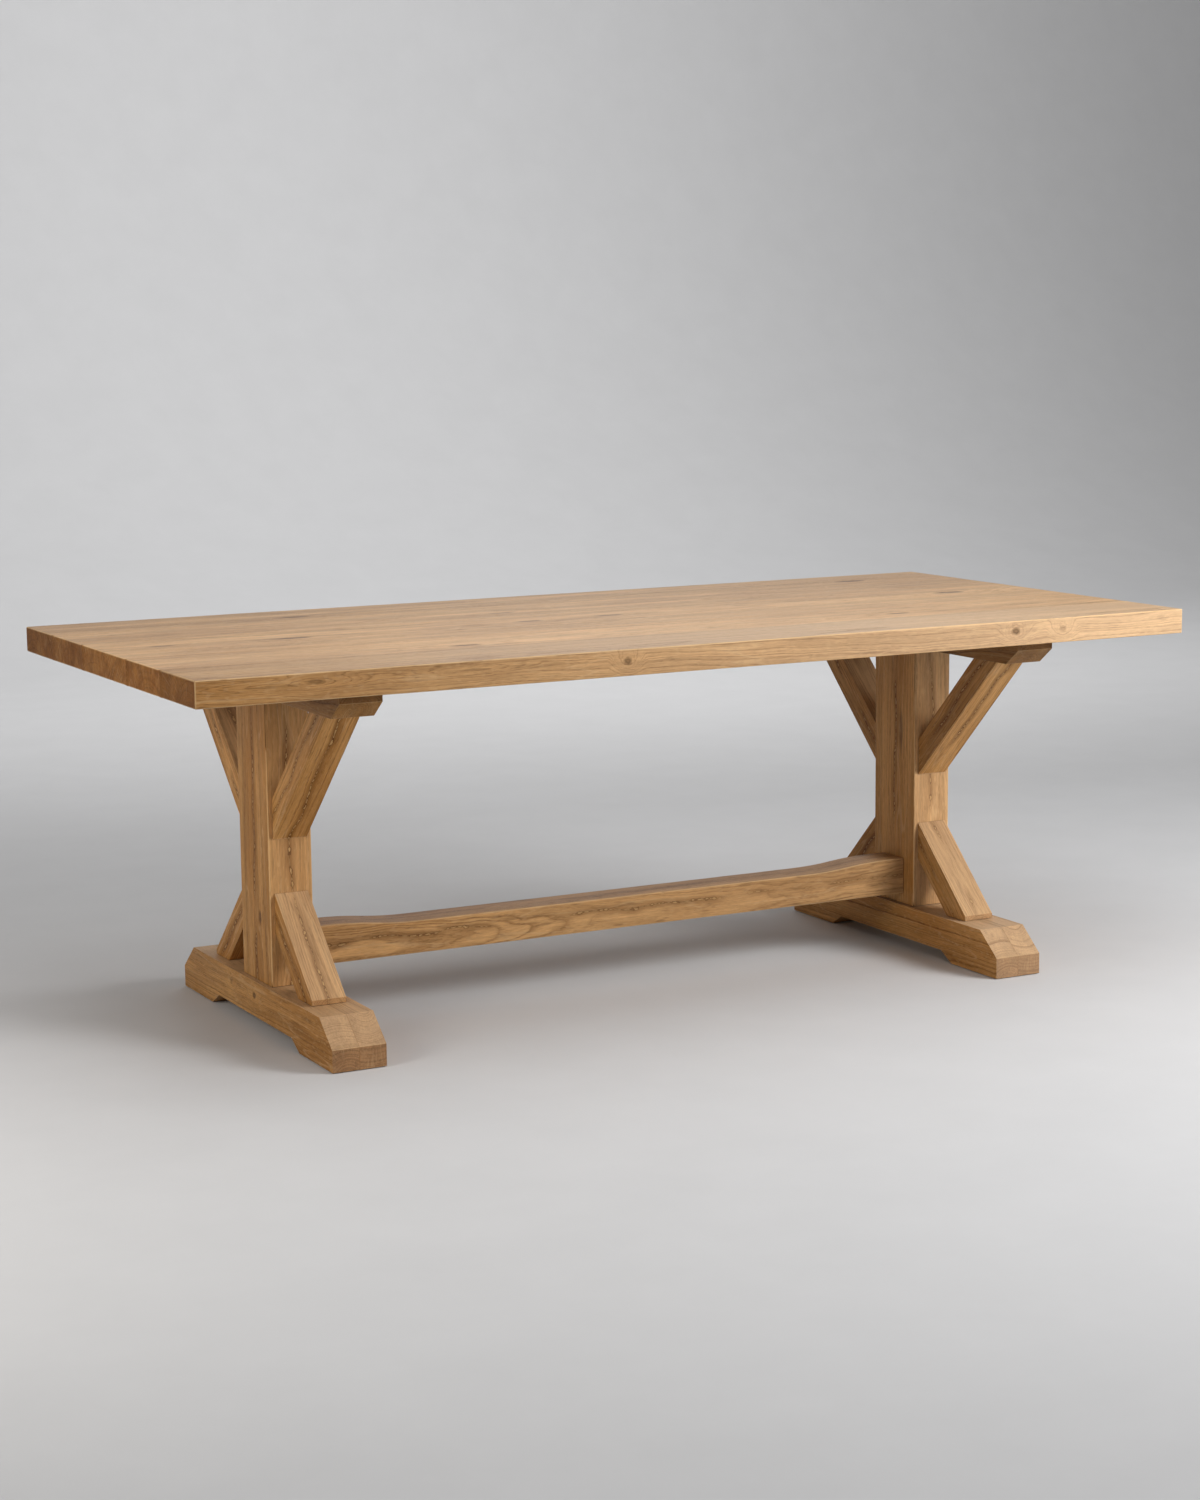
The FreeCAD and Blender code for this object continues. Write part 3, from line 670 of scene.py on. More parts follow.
def easeEdges(piece, widest, widthOf):
    # widthOf gives each sharp edge its easing; the widths vary as from years of use
    shape = bmesh.new()
    shape.from_mesh(piece.data)
    weight = shape.edges.layers.float.new("bevel_weight_edge")
    kind = shape.verts.layers.float.new("kind")
    for edge in shape.edges:
        if not edge.is_manifold or edge.calc_face_angle_signed(0) < handwork["sharp"]:
            continue
        spot = (edge.verts[0].co + edge.verts[1].co) / 2
        width = widthOf(spot, (edge.verts[1].co - edge.verts[0].co).normalized())
        rubbed = 1
        for often, much in handwork["easing"]:
            rubbed += much * noise.noise(spot * often)
        edge[weight] = min(1.0, width / widest * rubbed)
        for vertex in edge.verts:
            if width:
                vertex[kind] = 1.0 if width > handwork["dirtAndShadeUnder"] else -1.0
    shape.to_mesh(piece.data)
    shape.free()
    bevel = piece.modifiers.new("eased edges", "BEVEL")
    bevel.limit_method = "WEIGHT"
    bevel.width = widest
    bevel.segments = 3
    bevel.material = 1
    bpy.ops.object.modifier_apply(modifier=bevel.name)


def unsettle(piece, size, strength):  # slow rise and fall of a hand finished face, never outwards
    texture = bpy.data.textures.new("unevenness", "CLOUDS")
    texture.noise_scale = size
    modifier = piece.modifiers.new("unevenness", "DISPLACE")
    modifier.texture = texture
    modifier.texture_coords = "LOCAL"
    modifier.vertex_group = "free"
    modifier.mid_level = 1.0
    modifier.strength = strength
    bpy.ops.object.modifier_apply(modifier=modifier.name)


def markEdgeWearAndShade(piece):  # eased faces came in the second slot: painted pale where wide, as wear and highlight, and dark where narrow, as dirt and contact shade
    mesh = piece.data
    count = [0] * len(mesh.vertices)
    eased = [0] * len(mesh.vertices)
    for face in mesh.polygons:
        for number in face.vertices:
            count[number] += 1
            eased[number] += face.material_index
    kinds = mesh.attributes["kind"].data
    worn = mesh.attributes.new("worn", "FLOAT", "POINT")
    for number in range(len(count)):
        worn.data[number].value = kinds[number].value * (count[number] > 0 and count[number] == eased[number])
    for face in mesh.polygons:
        face.material_index = 0
    for name in ("kind", "bevel_weight_edge"):
        if name in mesh.attributes:
            mesh.attributes.remove(mesh.attributes[name])


def joinery(piece, shapes, placed, operation="DIFFERENCE"):
    # every room or tenon is a box between two corners, or a rod between two points with a radius
    for start, stop, *radius in shapes:
        start, stop = placed @ Vector(start), placed @ Vector(stop)
        bpy.ops.object.select_all(action="DESELECT")
        if radius:
            axis = stop - start
            bpy.ops.mesh.primitive_cylinder_add(vertices=40, radius=radius[0], depth=axis.length,
                                                location=(start + stop) / 2,
                                                rotation=axis.to_track_quat("Z", "Y").to_euler())
        else:
            bpy.ops.mesh.primitive_cube_add(size=1, location=(start + stop) / 2,
                                            scale=[abs(reach) for reach in stop - start])
        tool = bpy.context.object
        bpy.ops.object.transform_apply(location=True, rotation=True, scale=True)
        tool.data.materials.append(piece.data.materials[0])
        bpy.context.view_layer.objects.active = piece
        modifier = piece.modifiers.new("joinery", "BOOLEAN")
        modifier.operation = operation
        modifier.solver = "MANIFOLD"
        modifier.object = tool
        bpy.ops.object.modifier_apply(modifier=modifier.name)
        bpy.data.objects.remove(tool, do_unlink=True)


def holdSeams(piece, seams):  # glued faces stay flat, or a gap would open between the boards
    free = piece.vertex_groups.new(name="free")
    for vertex in piece.data.vertices:
        glued = any(abs(vertex.co.y - seam) < 0.05 * mm for seam in seams)
        free.add([vertex.index], handwork["held"] if glued else 1.0, "REPLACE")


def finishWood(block, name, node, place, turn, look, widthOf, material, rooms=(), tenons=(), seams=()):
    # a copy of the shaped block, moved to its place, worn, and given its own oak
    bpy.ops.object.select_all(action="DESELECT")
    piece = block.copy()
    piece.data = block.data.copy()
    piece.name = piece.data.name = name
    bpy.context.collection.objects.link(piece)
    bpy.context.view_layer.objects.active = piece
    piece.select_set(True)
    placed = Matrix.Translation(place) @ Matrix.Rotation(turn, 4, "Z")
    piece.matrix_world = placed
    bpy.ops.object.transform_apply(location=True, rotation=True, scale=True)
    piece.data.materials.append(material)
    piece.data.materials.append(material)
    easeEdges(piece, look["ease"] * mm, widthOf)
    holdSeams(piece, seams)
    for size, share in handwork["unevenness"]:
        unsettle(piece, size, look["uneven"] * share * mm)
    piece.vertex_groups.clear()
    markEdgeWearAndShade(piece)
    piece.data.materials.pop()
    joinery(piece, tenons, placed, "UNION")
    joinery(piece, rooms, placed)
    piece.select_set(True)
    bpy.ops.object.shade_smooth_by_angle(angle=handwork["smooth"])
    weighted = piece.modifiers.new("flat faces", "WEIGHTED_NORMAL")
    weighted.keep_sharp = True
    bpy.ops.object.modifier_apply(modifier=weighted.name)
    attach(piece, "root")
    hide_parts(node)
    return piece


def dropBlock(block):
    bpy.data.objects.remove(block, do_unlink=True)


# what the pieces have in common: where the trestles stand, their joints and their fixings

footLow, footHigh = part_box("foot_left")
bearerLow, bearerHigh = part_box("bearer_left")
postLow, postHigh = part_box("post_left")
trestleX = (postLow.x + postHigh.x) / 2
postSide = postHigh.y
trestles = {"left": 0.0, "right": math.pi}  # the right one is the left one turned round

joints = {
    "postTenon": (18 * mm, 52.5 * mm),  # half its width and half its length
    "postTenonLow": postLow.z,
    "postTenonHigh": postHigh.z,
    "stretcherTenon": (20 * mm, 25 * mm),
    "stretcherAxis": 157.5 * mm,
    "stretcherInto": 26 * mm,
    "braceTenon": (6 * mm, 20 * mm, 23 * mm),  # half its thickness, width and length
    "braceTenonInset": 22 * mm,
}

fixings = {
    # rooms and bores are given by their radius, a little larger than what they hold
    "screwRows": (180 * mm, 381 * mm),
    "insertRoom": 6.1 * mm,
    "insertDepth": 20 * mm,
    "flangeRoom": 8.1 * mm,
    "flangeDepth": 1.6 * mm,
    "counterbore": 16 * mm,
    "counterboreDepth": 20 * mm,
    "slotWidth": 9 * mm,
    "slotTravel": 6 * mm,
    "boltRoom": 5.1 * mm,
    "boltRoomTip": 27 * mm,
    "boltBore": 5.75 * mm,
    "pocket": (600 * mm, 637 * mm),  # from the middle of the stretcher
    "pocketWidth": 15 * mm,  # half of it
    "pocketRoof": 15 * mm,  # above the bolt
    "glideX": 31 * mm,
    "glideY": 317.5 * mm,
    "glideRoom": 18.1 * mm,
    "glideDepth": 4 * mm,
    "glideScrewRoom": 2.1 * mm,
    "glideScrewDepth": 19 * mm,
}


def screwPlaces():
    rows = [side * row for row in fixings["screwRows"] for side in (-1, 1)]
    return [(x, y) for x in (trestleX, -trestleX) for y in rows]


# table top: five boards glued edge to edge

top = {
    "cell": 12 * mm,  # of the net over its faces
    "ease": 3.4,  # mm, the widest that an edge is eased
    "uneven": 0.7,  # mm that the faces rise and fall
    "arris": 3.0 * mm,
    "cornerArris": 3.4 * mm,
    "endTongue": 1016 * mm,  # grooves stop short of the ends
    "grooveWidth": 19 * mm,
    "grooveHeight": 5 * mm,
    "wood": {"wander": 26, "growth": 8.0, "contrast": 0.45, "bands": 1.7, "lines": 0.45, "marks": 0.5,
             "gloss": 0.2, "paintedLight": 0.58, "litToRight": 0.08, "endShade": 0.8, "endColour": "#AA8B3F"},
    "boards": (
        {"pith": (-60, -60), "growth": 5.4, "wander": 18, "contrast": 0.8, "bands": 1.1, "lines": 0.3,
         "marks": 0.3, "tone": -0.05, "paintedLight": 0.97, "litToRight": 0.5, "litAlong": 0.16, "seed": 1.0, "knots": (
             ((-227, -91, 3), (9, 26, 8), 0.8), ((654, -91, 4), (11, 26, 8), 0.9),
             ((770, -91, 2), (9, 26, 7), 0.4), ((-541, -91, 8), (36, 16, 3), 0.5),
             ((-930, -91, 4), (62, 16, 3), 0.35), ((-850, -91, 8), (20, 16, 5), 0.65))},
        {"pith": (-30, -120), "tone": 0.05, "warmth": -0.15, "seed": 2.0, "knots": (
            ((-454, -53, 26), (36, 9, 20), 0.95), ((537, -27, 26), (30, 9, 20), 0.90))},
        {"pith": (40, -140), "growth": 9.0, "tone": 0.01, "warmth": -0.1, "seed": 3.0, "knots": (
            ((-690, 11, 26), (46, 10, 20), 1.00), ((-953, 24, 26), (32, 8, 20), 0.80),
            ((-169, 31, 26), (36, 9, 20), 0.95), ((20, 42, 26), (38, 9, 20), 0.95),
            ((869, 47, 26), (43, 16, 20), 1.00))},
        {"pith": (-20, -110), "tone": -0.04, "warmth": 0.1, "seed": 4.0, "knots": (
            ((-150, -20, 26), (37, 8, 20), 0.75),)},
        {"pith": (30, -100), "tone": -0.08, "warmth": 0.15, "seed": 5.0, "knots": (
            ((-548, -43, 26), (42, 10, 20), 0.95), ((825, -30, 26), (43, 14, 20), 1.00))},
    ),
}


def boardBlock(low, high, cell):
    block = startBlock("board_block", low, high)
    size = high - low
    mostCuts = 30  # at once: the operator adds at most 100

    for axis in range(3):
        def runsAlong(edge):
            return abs((edge.verts[1].co - edge.verts[0].co).normalized()[axis]) > 0.99

        count = round(size[axis] / cell) - 1
        while count > 0:
            choose(block, "EDGE", runsAlong)
            cuts = count if count < mostCuts else round(math.sqrt(count + 1)) - 1
            bpy.ops.mesh.subdivide(number_cuts=cuts)
            count = 0 if count < mostCuts else round((count + 1) / (cuts + 1)) - 1
    bpy.ops.object.mode_set(mode="OBJECT")
    return block


def makeTop(look):
    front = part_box("top_board_1")[0].y
    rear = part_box("top_board_5")[1].y
    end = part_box("top_board_1")[1].x
    grooveEnd, grooveWidth, grooveHeight = look["endTongue"], look["grooveWidth"], look["grooveHeight"]

    def widthOf(spot, direction):  # glued joints are planed flush
        outer = abs(spot.y - front) < mm or abs(spot.y - rear) < mm
        if abs(spot.x) > end - mm and abs(direction.z) > 0.9:
            return look["cornerArris"] if outer else 0.0
        return look["arris"] if outer or abs(direction.y) > 0.9 else 0.0

    for number, board in enumerate(look["boards"], start=1):
        node = "top_board_%d" % number
        low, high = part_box(node)
        middle = (low + high) / 2
        material = oakMaterial("oiled oak, board %d" % number, middle, alongX, {**look["wood"], **board})
        seams = [side for side in (low.y, high.y) if front + mm < side < rear - mm]
        rooms = [((-grooveEnd, seam - grooveWidth, middle.z - grooveHeight),
                  (grooveEnd, seam + grooveWidth, middle.z + grooveHeight)) for seam in seams]
        under = low.z - 2 * mm
        for x, y in screwPlaces():
            if low.y < y < high.y:
                rooms.append(((x, y, under), (x, y, low.z + fixings["insertDepth"]), fixings["insertRoom"]))
                rooms.append(((x, y, under), (x, y, low.z + fixings["flangeDepth"]), fixings["flangeRoom"]))
        block = boardBlock(low, high, look["cell"])
        finishWood(block, "oak_board_%d" % number, node, Vector(), 0.0, look, widthOf, material,
                   rooms, seams=seams)
        dropBlock(block)


makeTop(top)
print("top ready")


# trestles: foot, post, bearer and four braces each

def trestleShift(node, turn):  # from the left trestle to this one
    low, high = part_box(node)
    return Vector(((low.x + high.x) / 2, 0, 0)) - Matrix.Rotation(turn, 3, "Z") @ Vector((trestleX, 0, 0))


def postMortise(low, high):
    width, length = joints["postTenon"]
    return ((trestleX - width, -length, low), (trestleX + width, length, high))


def braceTenonRooms(row):  # one into the post and one into the foot or bearer, for the front brace
    slope = math.tan(brace["angle"])
    outerRun = row["run"] + brace["depth"] / math.sin(brace["angle"])
    inset = joints["braceTenonInset"]
    thick, wide, long = joints["braceTenon"]
    height = row["beam"] + row["up"] * slope * (row["run"] + outerRun - inset) / 2
    reach = -postSide - (row["run"] + outerRun - inset / slope) / 2
    left, right = trestleX - thick, trestleX + thick
    return [((left, -postSide - long, height - wide), (right, -postSide + long, height + wide)),
            ((left, reach - wide, row["beam"] - long), (right, reach + wide, row["beam"] + long))]


def makePair(kind, block, look, height, axes, widthOf, rooms, tenons=()):  # the same piece for both trestles
    for number, (side, turn) in enumerate(trestles.items()):
        node = kind + "_" + side
        low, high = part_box(node)
        middle = Vector(((low.x + high.x) / 2, 0, height))
        given = {**look["wood"], **look["each"][side], "seed": look["wood"]["seed"] + number}
        material = oakMaterial("oiled oak, %s %s" % (side, kind), middle, axes, given)
        finishWood(block, "oak_" + node, node, trestleShift(node, turn), turn, look, widthOf, material,
                   rooms, tenons)
    dropBlock(block)


def bothEnds(rooms):  # the same again for the rear brace
    return rooms + [((start[0], -stop[1], start[2]), (stop[0], -start[1], stop[2])) for start, stop in rooms]


brace = {
    "cell": 12 * mm,
    "ease": 3.6,
    "uneven": 0.8,
    "depth": 57 * mm,
    "angle": math.radians(44),
    "crossArris": 0.8 * mm,  # the edges that run across it
    "toeArris": 1.6 * mm,
    "hiddenArris": 0.9 * mm,  # close under the top, out of reach of wear
    "rows": (
        # run along the beam from the post, height of the blunt toe, where the beam is and which way from it
        {"row": "lower", "run": 109 * mm, "toe": 11 * mm, "beam": footHigh.z, "up": 1,
         "arris": 3.4 * mm},
        {"row": "upper", "run": 202.5 * mm, "toe": 0.0, "beam": bearerLow.z, "up": -1,
         "arris": 1.8 * mm},
    ),
    "wood": {"growth": 4.6, "wander": 10, "chain": 1.0, "paintedLight": 0.72, "seed": 41.0},
    # painted light and shade: some braces painted lighter and one darker, for how brightly each is lit
    "paintedLightShade": {"upper_brace_left_front": 0.03, "upper_brace_left_rear": 0.22, "lower_brace_left_front": 0.05,
              "lower_brace_left_rear": 0.06, "upper_brace_right_front": -0.06},
}

foot = {
    "cell": 13 * mm,
    "ease": 3.2,
    "uneven": 0.9,
    "arris": 2.8 * mm,
    "bevelRun": 60 * mm,
    "bevelDrop": 50 * mm,
    "padLength": 165 * mm,
    "reliefHeight": 22 * mm,
    "reliefSlope": 38 * mm,
    "wood": {"pith": (-30, 70), "halves": (24, -60), "growth": 5.4, "wander": 13, "contrast": 1.0,
             "chain": 0.35, "endShade": 0.6, "paintedLight": 0.95, "seed": 11.0},
    "each": {
        "left": {"knots": (((-4, 55, 17), (10, 30, 8), 0.95), ((123, 55, 20), (8, 30, 7), 0.45))},
        "right": {},
    },
}


def footBlock(look):
    low, high = footLow, footHigh
    block = startBlock("foot_block", low, high)
    padEnd = high.y - look["padLength"]
    archEnd = padEnd - look["reliefSlope"]
    for y in (-padEnd, -archEnd, archEnd, padEnd):
        cutThrough((0, y, 0), (0, 1, 0))
    choose(block, "FACE", lambda face: face.normal.z < -0.9 and abs(face.calc_center_median().y) < archEnd)
    bpy.ops.transform.translate(value=(0, 0, look["reliefHeight"]))
    for side in (-1, 1):
        cutThrough((0, side * high.y, high.z - look["bevelDrop"]),
                   (0, side * look["bevelDrop"], look["bevelRun"]), keep=False)
    return netBlock(block, look["cell"], low, high, ((0, 1, 0), (1, 0, 0), (0, 0, 1)))


def makeFeet(look):
    block = footBlock(look)
    rooms = [postMortise(joints["postTenonLow"] - mm, footHigh.z + 2 * mm)]
    rooms += bothEnds(braceTenonRooms(brace["rows"][0]))
    for side in (-1, 1):
        for end in (-1, 1):
            x, y, z = trestleX + side * fixings["glideX"], end * fixings["glideY"], footLow.z
            rooms.append(((x, y, z - 2 * mm), (x, y, z + fixings["glideDepth"]), fixings["glideRoom"]))
            rooms.append(((x, y, z), (x, y, z + fixings["glideScrewDepth"]), fixings["glideScrewRoom"]))
    height = (footLow.z + footHigh.z) / 2
    makePair("foot", block, look, height, alongY, lambda spot, direction: look["arris"], rooms)


post = {
    "cell": 13 * mm,
    "ease": 3.4,
    "uneven": 0.8,
    "arris": 3.2 * mm,
    "crossArris": 0.8 * mm,
    "hiddenArris": 0.9 * mm,
    "hidden": 90 * mm,  # arrises stay crisp this far below the bearer, out of reach of wear
    "wood": {"growth": 4.8, "wander": 12, "contrast": 0.68, "chain": 1.0, "paintedLight": 0.55, "tone": 0.04,
             "seed": 21.0},
    "each": {
        "left": {"knots": (((-153, -23, 45), (16, 7, 20), 0.9),)},
        "right": {"knots": (((98, -24, 45), (52, 7, 20), 0.7),)},
    },
}


def makePosts(look):
    low = Vector((postLow.x, -postSide, footHigh.z))
    high = Vector((postHigh.x, postSide, bearerLow.z))
    block = startBlock("post_block", low, high)
    netBlock(block, look["cell"], low, high, ((0, 0, 1), (0, 1, 0), (1, 0, 0)))
    width, half = joints["stretcherTenon"]
    axis = joints["stretcherAxis"]
    mouth, tip = postHigh.x + 2 * mm, trestleX - fixings["boltRoomTip"]
    rooms = [((postHigh.x - joints["stretcherInto"], -width, axis - half), (mouth, width, axis + half)),
             ((mouth, 0, axis), (tip, 0, axis), fixings["boltRoom"])]
    for row in brace["rows"]:
        rooms += bothEnds(braceTenonRooms(row))
    tenons = [postMortise(joints["postTenonLow"], joints["postTenonHigh"])]

    def widthOf(spot, direction):
        if spot.z > bearerLow.z - look["hidden"]:
            return look["hiddenArris"]
        return look["arris"] if abs(direction.z) > 0.9 else look["crossArris"]

    makePair("post", block, look, (low.z + high.z) / 2, alongZ, widthOf, rooms, tenons)


bearer = {
    "cell": 13 * mm,
    "ease": 2.6,
    "uneven": 0.7,
    "arris": 2.4 * mm,
    "endHeight": 19 * mm,
    "undercut": 41 * mm,
    "wood": {"pith": (0, -20), "growth": 4.4, "wander": 12, "chain": 0.3, "paintedLight": 0.2, "seed": 31.0},
    # painted shade: the bearers darker, the right one most, as in the shade under the top
    "each": {"left": {"tone": -0.28}, "right": {"tone": -0.42}},
}


def makeBearers(look):
    low, high = bearerLow, bearerHigh
    block = startBlock("bearer_block", low, high)
    drop = high.z - low.z - look["endHeight"]
    for side in (-1, 1):
        cutThrough((0, side * high.y, high.z - look["endHeight"]),
                   (0, side * drop, -look["undercut"]), keep=False)
    netBlock(block, look["cell"], low, high, ((0, 1, 0), (1, 0, 0), (0, 0, 1)))
    rooms = [postMortise(bearerLow.z - 2 * mm, joints["postTenonHigh"] + mm)]
    rooms += bothEnds(braceTenonRooms(brace["rows"][1]))
    roof = low.z + fixings["counterboreDepth"]
    reach, half = fixings["slotTravel"] / 2, fixings["slotWidth"] / 2
    for y in [place for x, place in screwPlaces() if x < 0]:
        rooms.append(((trestleX, y, low.z - 2 * mm), (trestleX, y, roof), fixings["counterbore"]))
        rooms.append(((trestleX - half, y - reach, roof - mm), (trestleX + half, y + reach, high.z + 2 * mm)))
        for end in (y - reach, y + reach):
            rooms.append(((trestleX, end, roof - mm), (trestleX, end, high.z + 2 * mm), half))

    def widthOf(spot, direction):  # its top lies against the boards
        return 0.0 if spot.z > high.z - mm else look["arris"]

    makePair("bearer", block, look, (low.z + high.z) / 2, alongY, widthOf, rooms)


def braceBlock(look, row):  # the front brace of the left trestle
    slope = math.tan(look["angle"])
    outerRun = row["run"] + look["depth"] / math.sin(look["angle"])
    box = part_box("%s_brace_left_front" % row["row"])
    toeEnd = outerRun - row["toe"] / slope
    beam = row["beam"]
    tall = outerRun * slope
    low = Vector((box[0].x, -postSide - toeEnd, min(beam, beam + row["up"] * tall)))
    high = Vector((box[1].x, -postSide, max(beam, beam + row["up"] * tall)))
    block = startBlock("brace_block", low, high)
    across = Vector((0, -slope, row["up"])).normalized()  # square to the brace, away from the corner
    cutThrough((0, -postSide - outerRun, beam), across, keep=False)
    cutThrough((0, -postSide - row["run"], beam), -across, keep=False)
    along = Vector((0, 1, row["up"] * slope)).normalized()
    start, stop = Vector((0, -postSide - outerRun, beam)), Vector((0, -postSide, beam + row["up"] * tall))
    nearSide = Vector((0, -postSide - row["run"], beam))
    cutEvery(look["cell"], start, stop, along)
    cutEvery(look["cell"], low, high, (1, 0, 0))
    cutEvery(look["cell"], nearSide, start, across)
    bpy.ops.object.mode_set(mode="OBJECT")
    reach = (row["run"] + outerRun) / 4  # the middle of the centre line
    return block, along, Vector((trestleX, -postSide - reach, beam + row["up"] * reach * slope))


def makeBraces(look):
    seed = look["wood"]["seed"]
    sideways = Vector((1, 0, 0))
    for row in look["rows"]:
        block, along, centre = braceBlock(look, row)
        rooms = braceTenonRooms(row)

        def widthOf(spot, direction):
            steep = abs(direction.y) > 0.3 and abs(direction.z) > 0.3
            if row["up"] < 0 and spot.z > row["beam"] - post["hidden"]:
                return look["hiddenArris"]
            toe = abs(abs(spot.z - row["beam"]) - row["toe"]) < mm and abs(direction.x) > 0.9
            if steep:
                return row["arris"]
            return look["toeArris"] if toe and row["toe"] else look["crossArris"]

        for side in trestles:
            for end, turn in (("front", 0.0), ("rear", math.pi)):
                name = "%s_brace_%s_%s" % (row["row"], side, end)
                spun = Matrix.Rotation(turn, 3, "Z")
                shift = trestleShift(name, turn)
                lengthwise = spun @ along
                axes = Matrix((lengthwise, sideways, lengthwise.cross(sideways))).transposed()
                given = {**look["wood"], "tone": look["paintedLightShade"].get(name, 0.0), "seed": seed}
                title = "oiled oak, " + name.replace("_", " ")
                material = oakMaterial(title, spun @ centre + shift, axes, given)
                seed += 1
                finishWood(block, "oak_" + name, name, shift, turn, look, widthOf, material,
                           rooms)
        dropBlock(block)


makeFeet(foot)
makePosts(post)
makeBearers(bearer)
makeBraces(brace)
print("trestles ready")


# stretcher: straight below, its top edge swells in an ogee to a level land at each post

stretcher = {
    "cell": 12 * mm,
    "ease": 3.4,
    "uneven": 0.8,
    "arris": 3.2 * mm,
    "crossArris": 2.2 * mm,
    "middleHeight": 67 * mm,
    "land": 42 * mm,
    "ogee": 200 * mm,
    "wood": {"pith": (34, -8), "growth": 4.6, "wander": 22, "chain": 0.8, "tone": -0.18, "paintedLight": 0.42,
             "marks": 0.6, "seed": 61.0},
}


def makeStretcher(look):
    low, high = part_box("stretcher")
    low.x, high.x = postHigh.x, -postHigh.x  # between the posts, without the tenons
    block = startBlock("stretcher_block", low, high)
    netBlock(block, look["cell"], low, high, ((1, 0, 0), (0, 1, 0), (0, 0, 1)))
    rise = high.z - low.z - look["middleHeight"]
    land = high.x - look["land"]
    for vertex in block.data.vertices:
        share = max(0.0, min(1.0, (land - abs(vertex.co.x)) / look["ogee"]))
        lowered = rise * (2 * share ** 2 if share < 0.5 else 1 - 2 * (1 - share) ** 2)
        vertex.co.z -= lowered * (vertex.co.z - low.z) / (high.z - low.z)

    def widthOf(spot, direction):
        return look["arris"] if abs(direction.x) > 0.9 else look["crossArris"]

    width, half = joints["stretcherTenon"]
    axis = joints["stretcherAxis"]
    into = high.x + joints["stretcherInto"] - mm
    tenons = [((-into, -width, axis - half), (into, width, axis + half))]
    near, far = fixings["pocket"]
    rooms = []
    for side in (-1, 1):
        rooms.append(((side * near, -fixings["pocketWidth"], low.z - 2 * mm),
                      (side * far, fixings["pocketWidth"], axis + fixings["pocketRoof"])))
        rooms.append(((side * (far - mm), 0, axis), (side * (into + 2 * mm), 0, axis), fixings["boltBore"]))
    material = oakMaterial("oiled oak, stretcher", (low + high) / 2, alongX, look["wood"])
    finishWood(block, "oak_stretcher", "stretcher", Vector(), 0.0, look, widthOf, material,
               rooms, tenons)
    dropBlock(block)


makeStretcher(stretcher)
print("stretcher ready")


# parts that keep their shape and get their finish here: loose tongues and tenons, steel fixings, nylon glides

bareOak = {"contrast": 0.7, "bands": 0.9, "tone": 0.16, "warmth": -0.3, "gloss": 0.35, "marks": 0.1,
           "seed": 71.0}

steel = {
    "bright": "#C8CBCD",
    "dull": "#A9ABA9",  # where the passivation is thicker
    "smudge": "#8C877E",
    "smudging": 0.45,
    "mottle": 7.0,  # mm, the clouds of dull and bright
    "spots": 2.2,  # mm, the smudges
    "plating": 0.03,  # mm, the relief of the zinc
    "roughness": 0.27,
    "dullness": 0.14,
    "threadDepth": 0.35,  # mm
    "pieces": (
        # node, thread pitch in mm, the axis it turns about and how high that lies in mm
        ("stretcher_studs", 1.5, "X", 157.5),
        ("stretcher_washers", 0.0, "X", 0.0),
        ("stretcher_nuts", 0.0, "X", 0.0),
        ("top_screws", 1.25, "Z", 0.0),
        ("top_washers", 0.0, "Z", 0.0),
        ("glide_screws", 1.6, "Z", 0.0),
    ),
}

yellowZinc = {
    **steel,
    "bright": "#CDB067",
    "dull": "#B39A5A",
    "smudge": "#8F8455",
    "roughness": 0.33,
    "pieces": (("top_inserts", 2.5, "Z", 0.0),),
}

nylon = {
    "body": "#2C2823",
    "scuffed": "#6B665E",
    "grain": 0.9,  # mm, spark-eroded mould skin, drawn coarser than its 0.2 mm
    "grainHeight": 0.05,
    "cloud": 9,
    "scratch": (11, 1.4, 4),  # mm along, across and up
    "scuffHeight": 2.2,
    "roughness": 0.42,
    "grainRoughness": 0.16,
    "nodes": ("glides_left_front", "glides_left_rear", "glides_right_front", "glides_right_rear"),
}


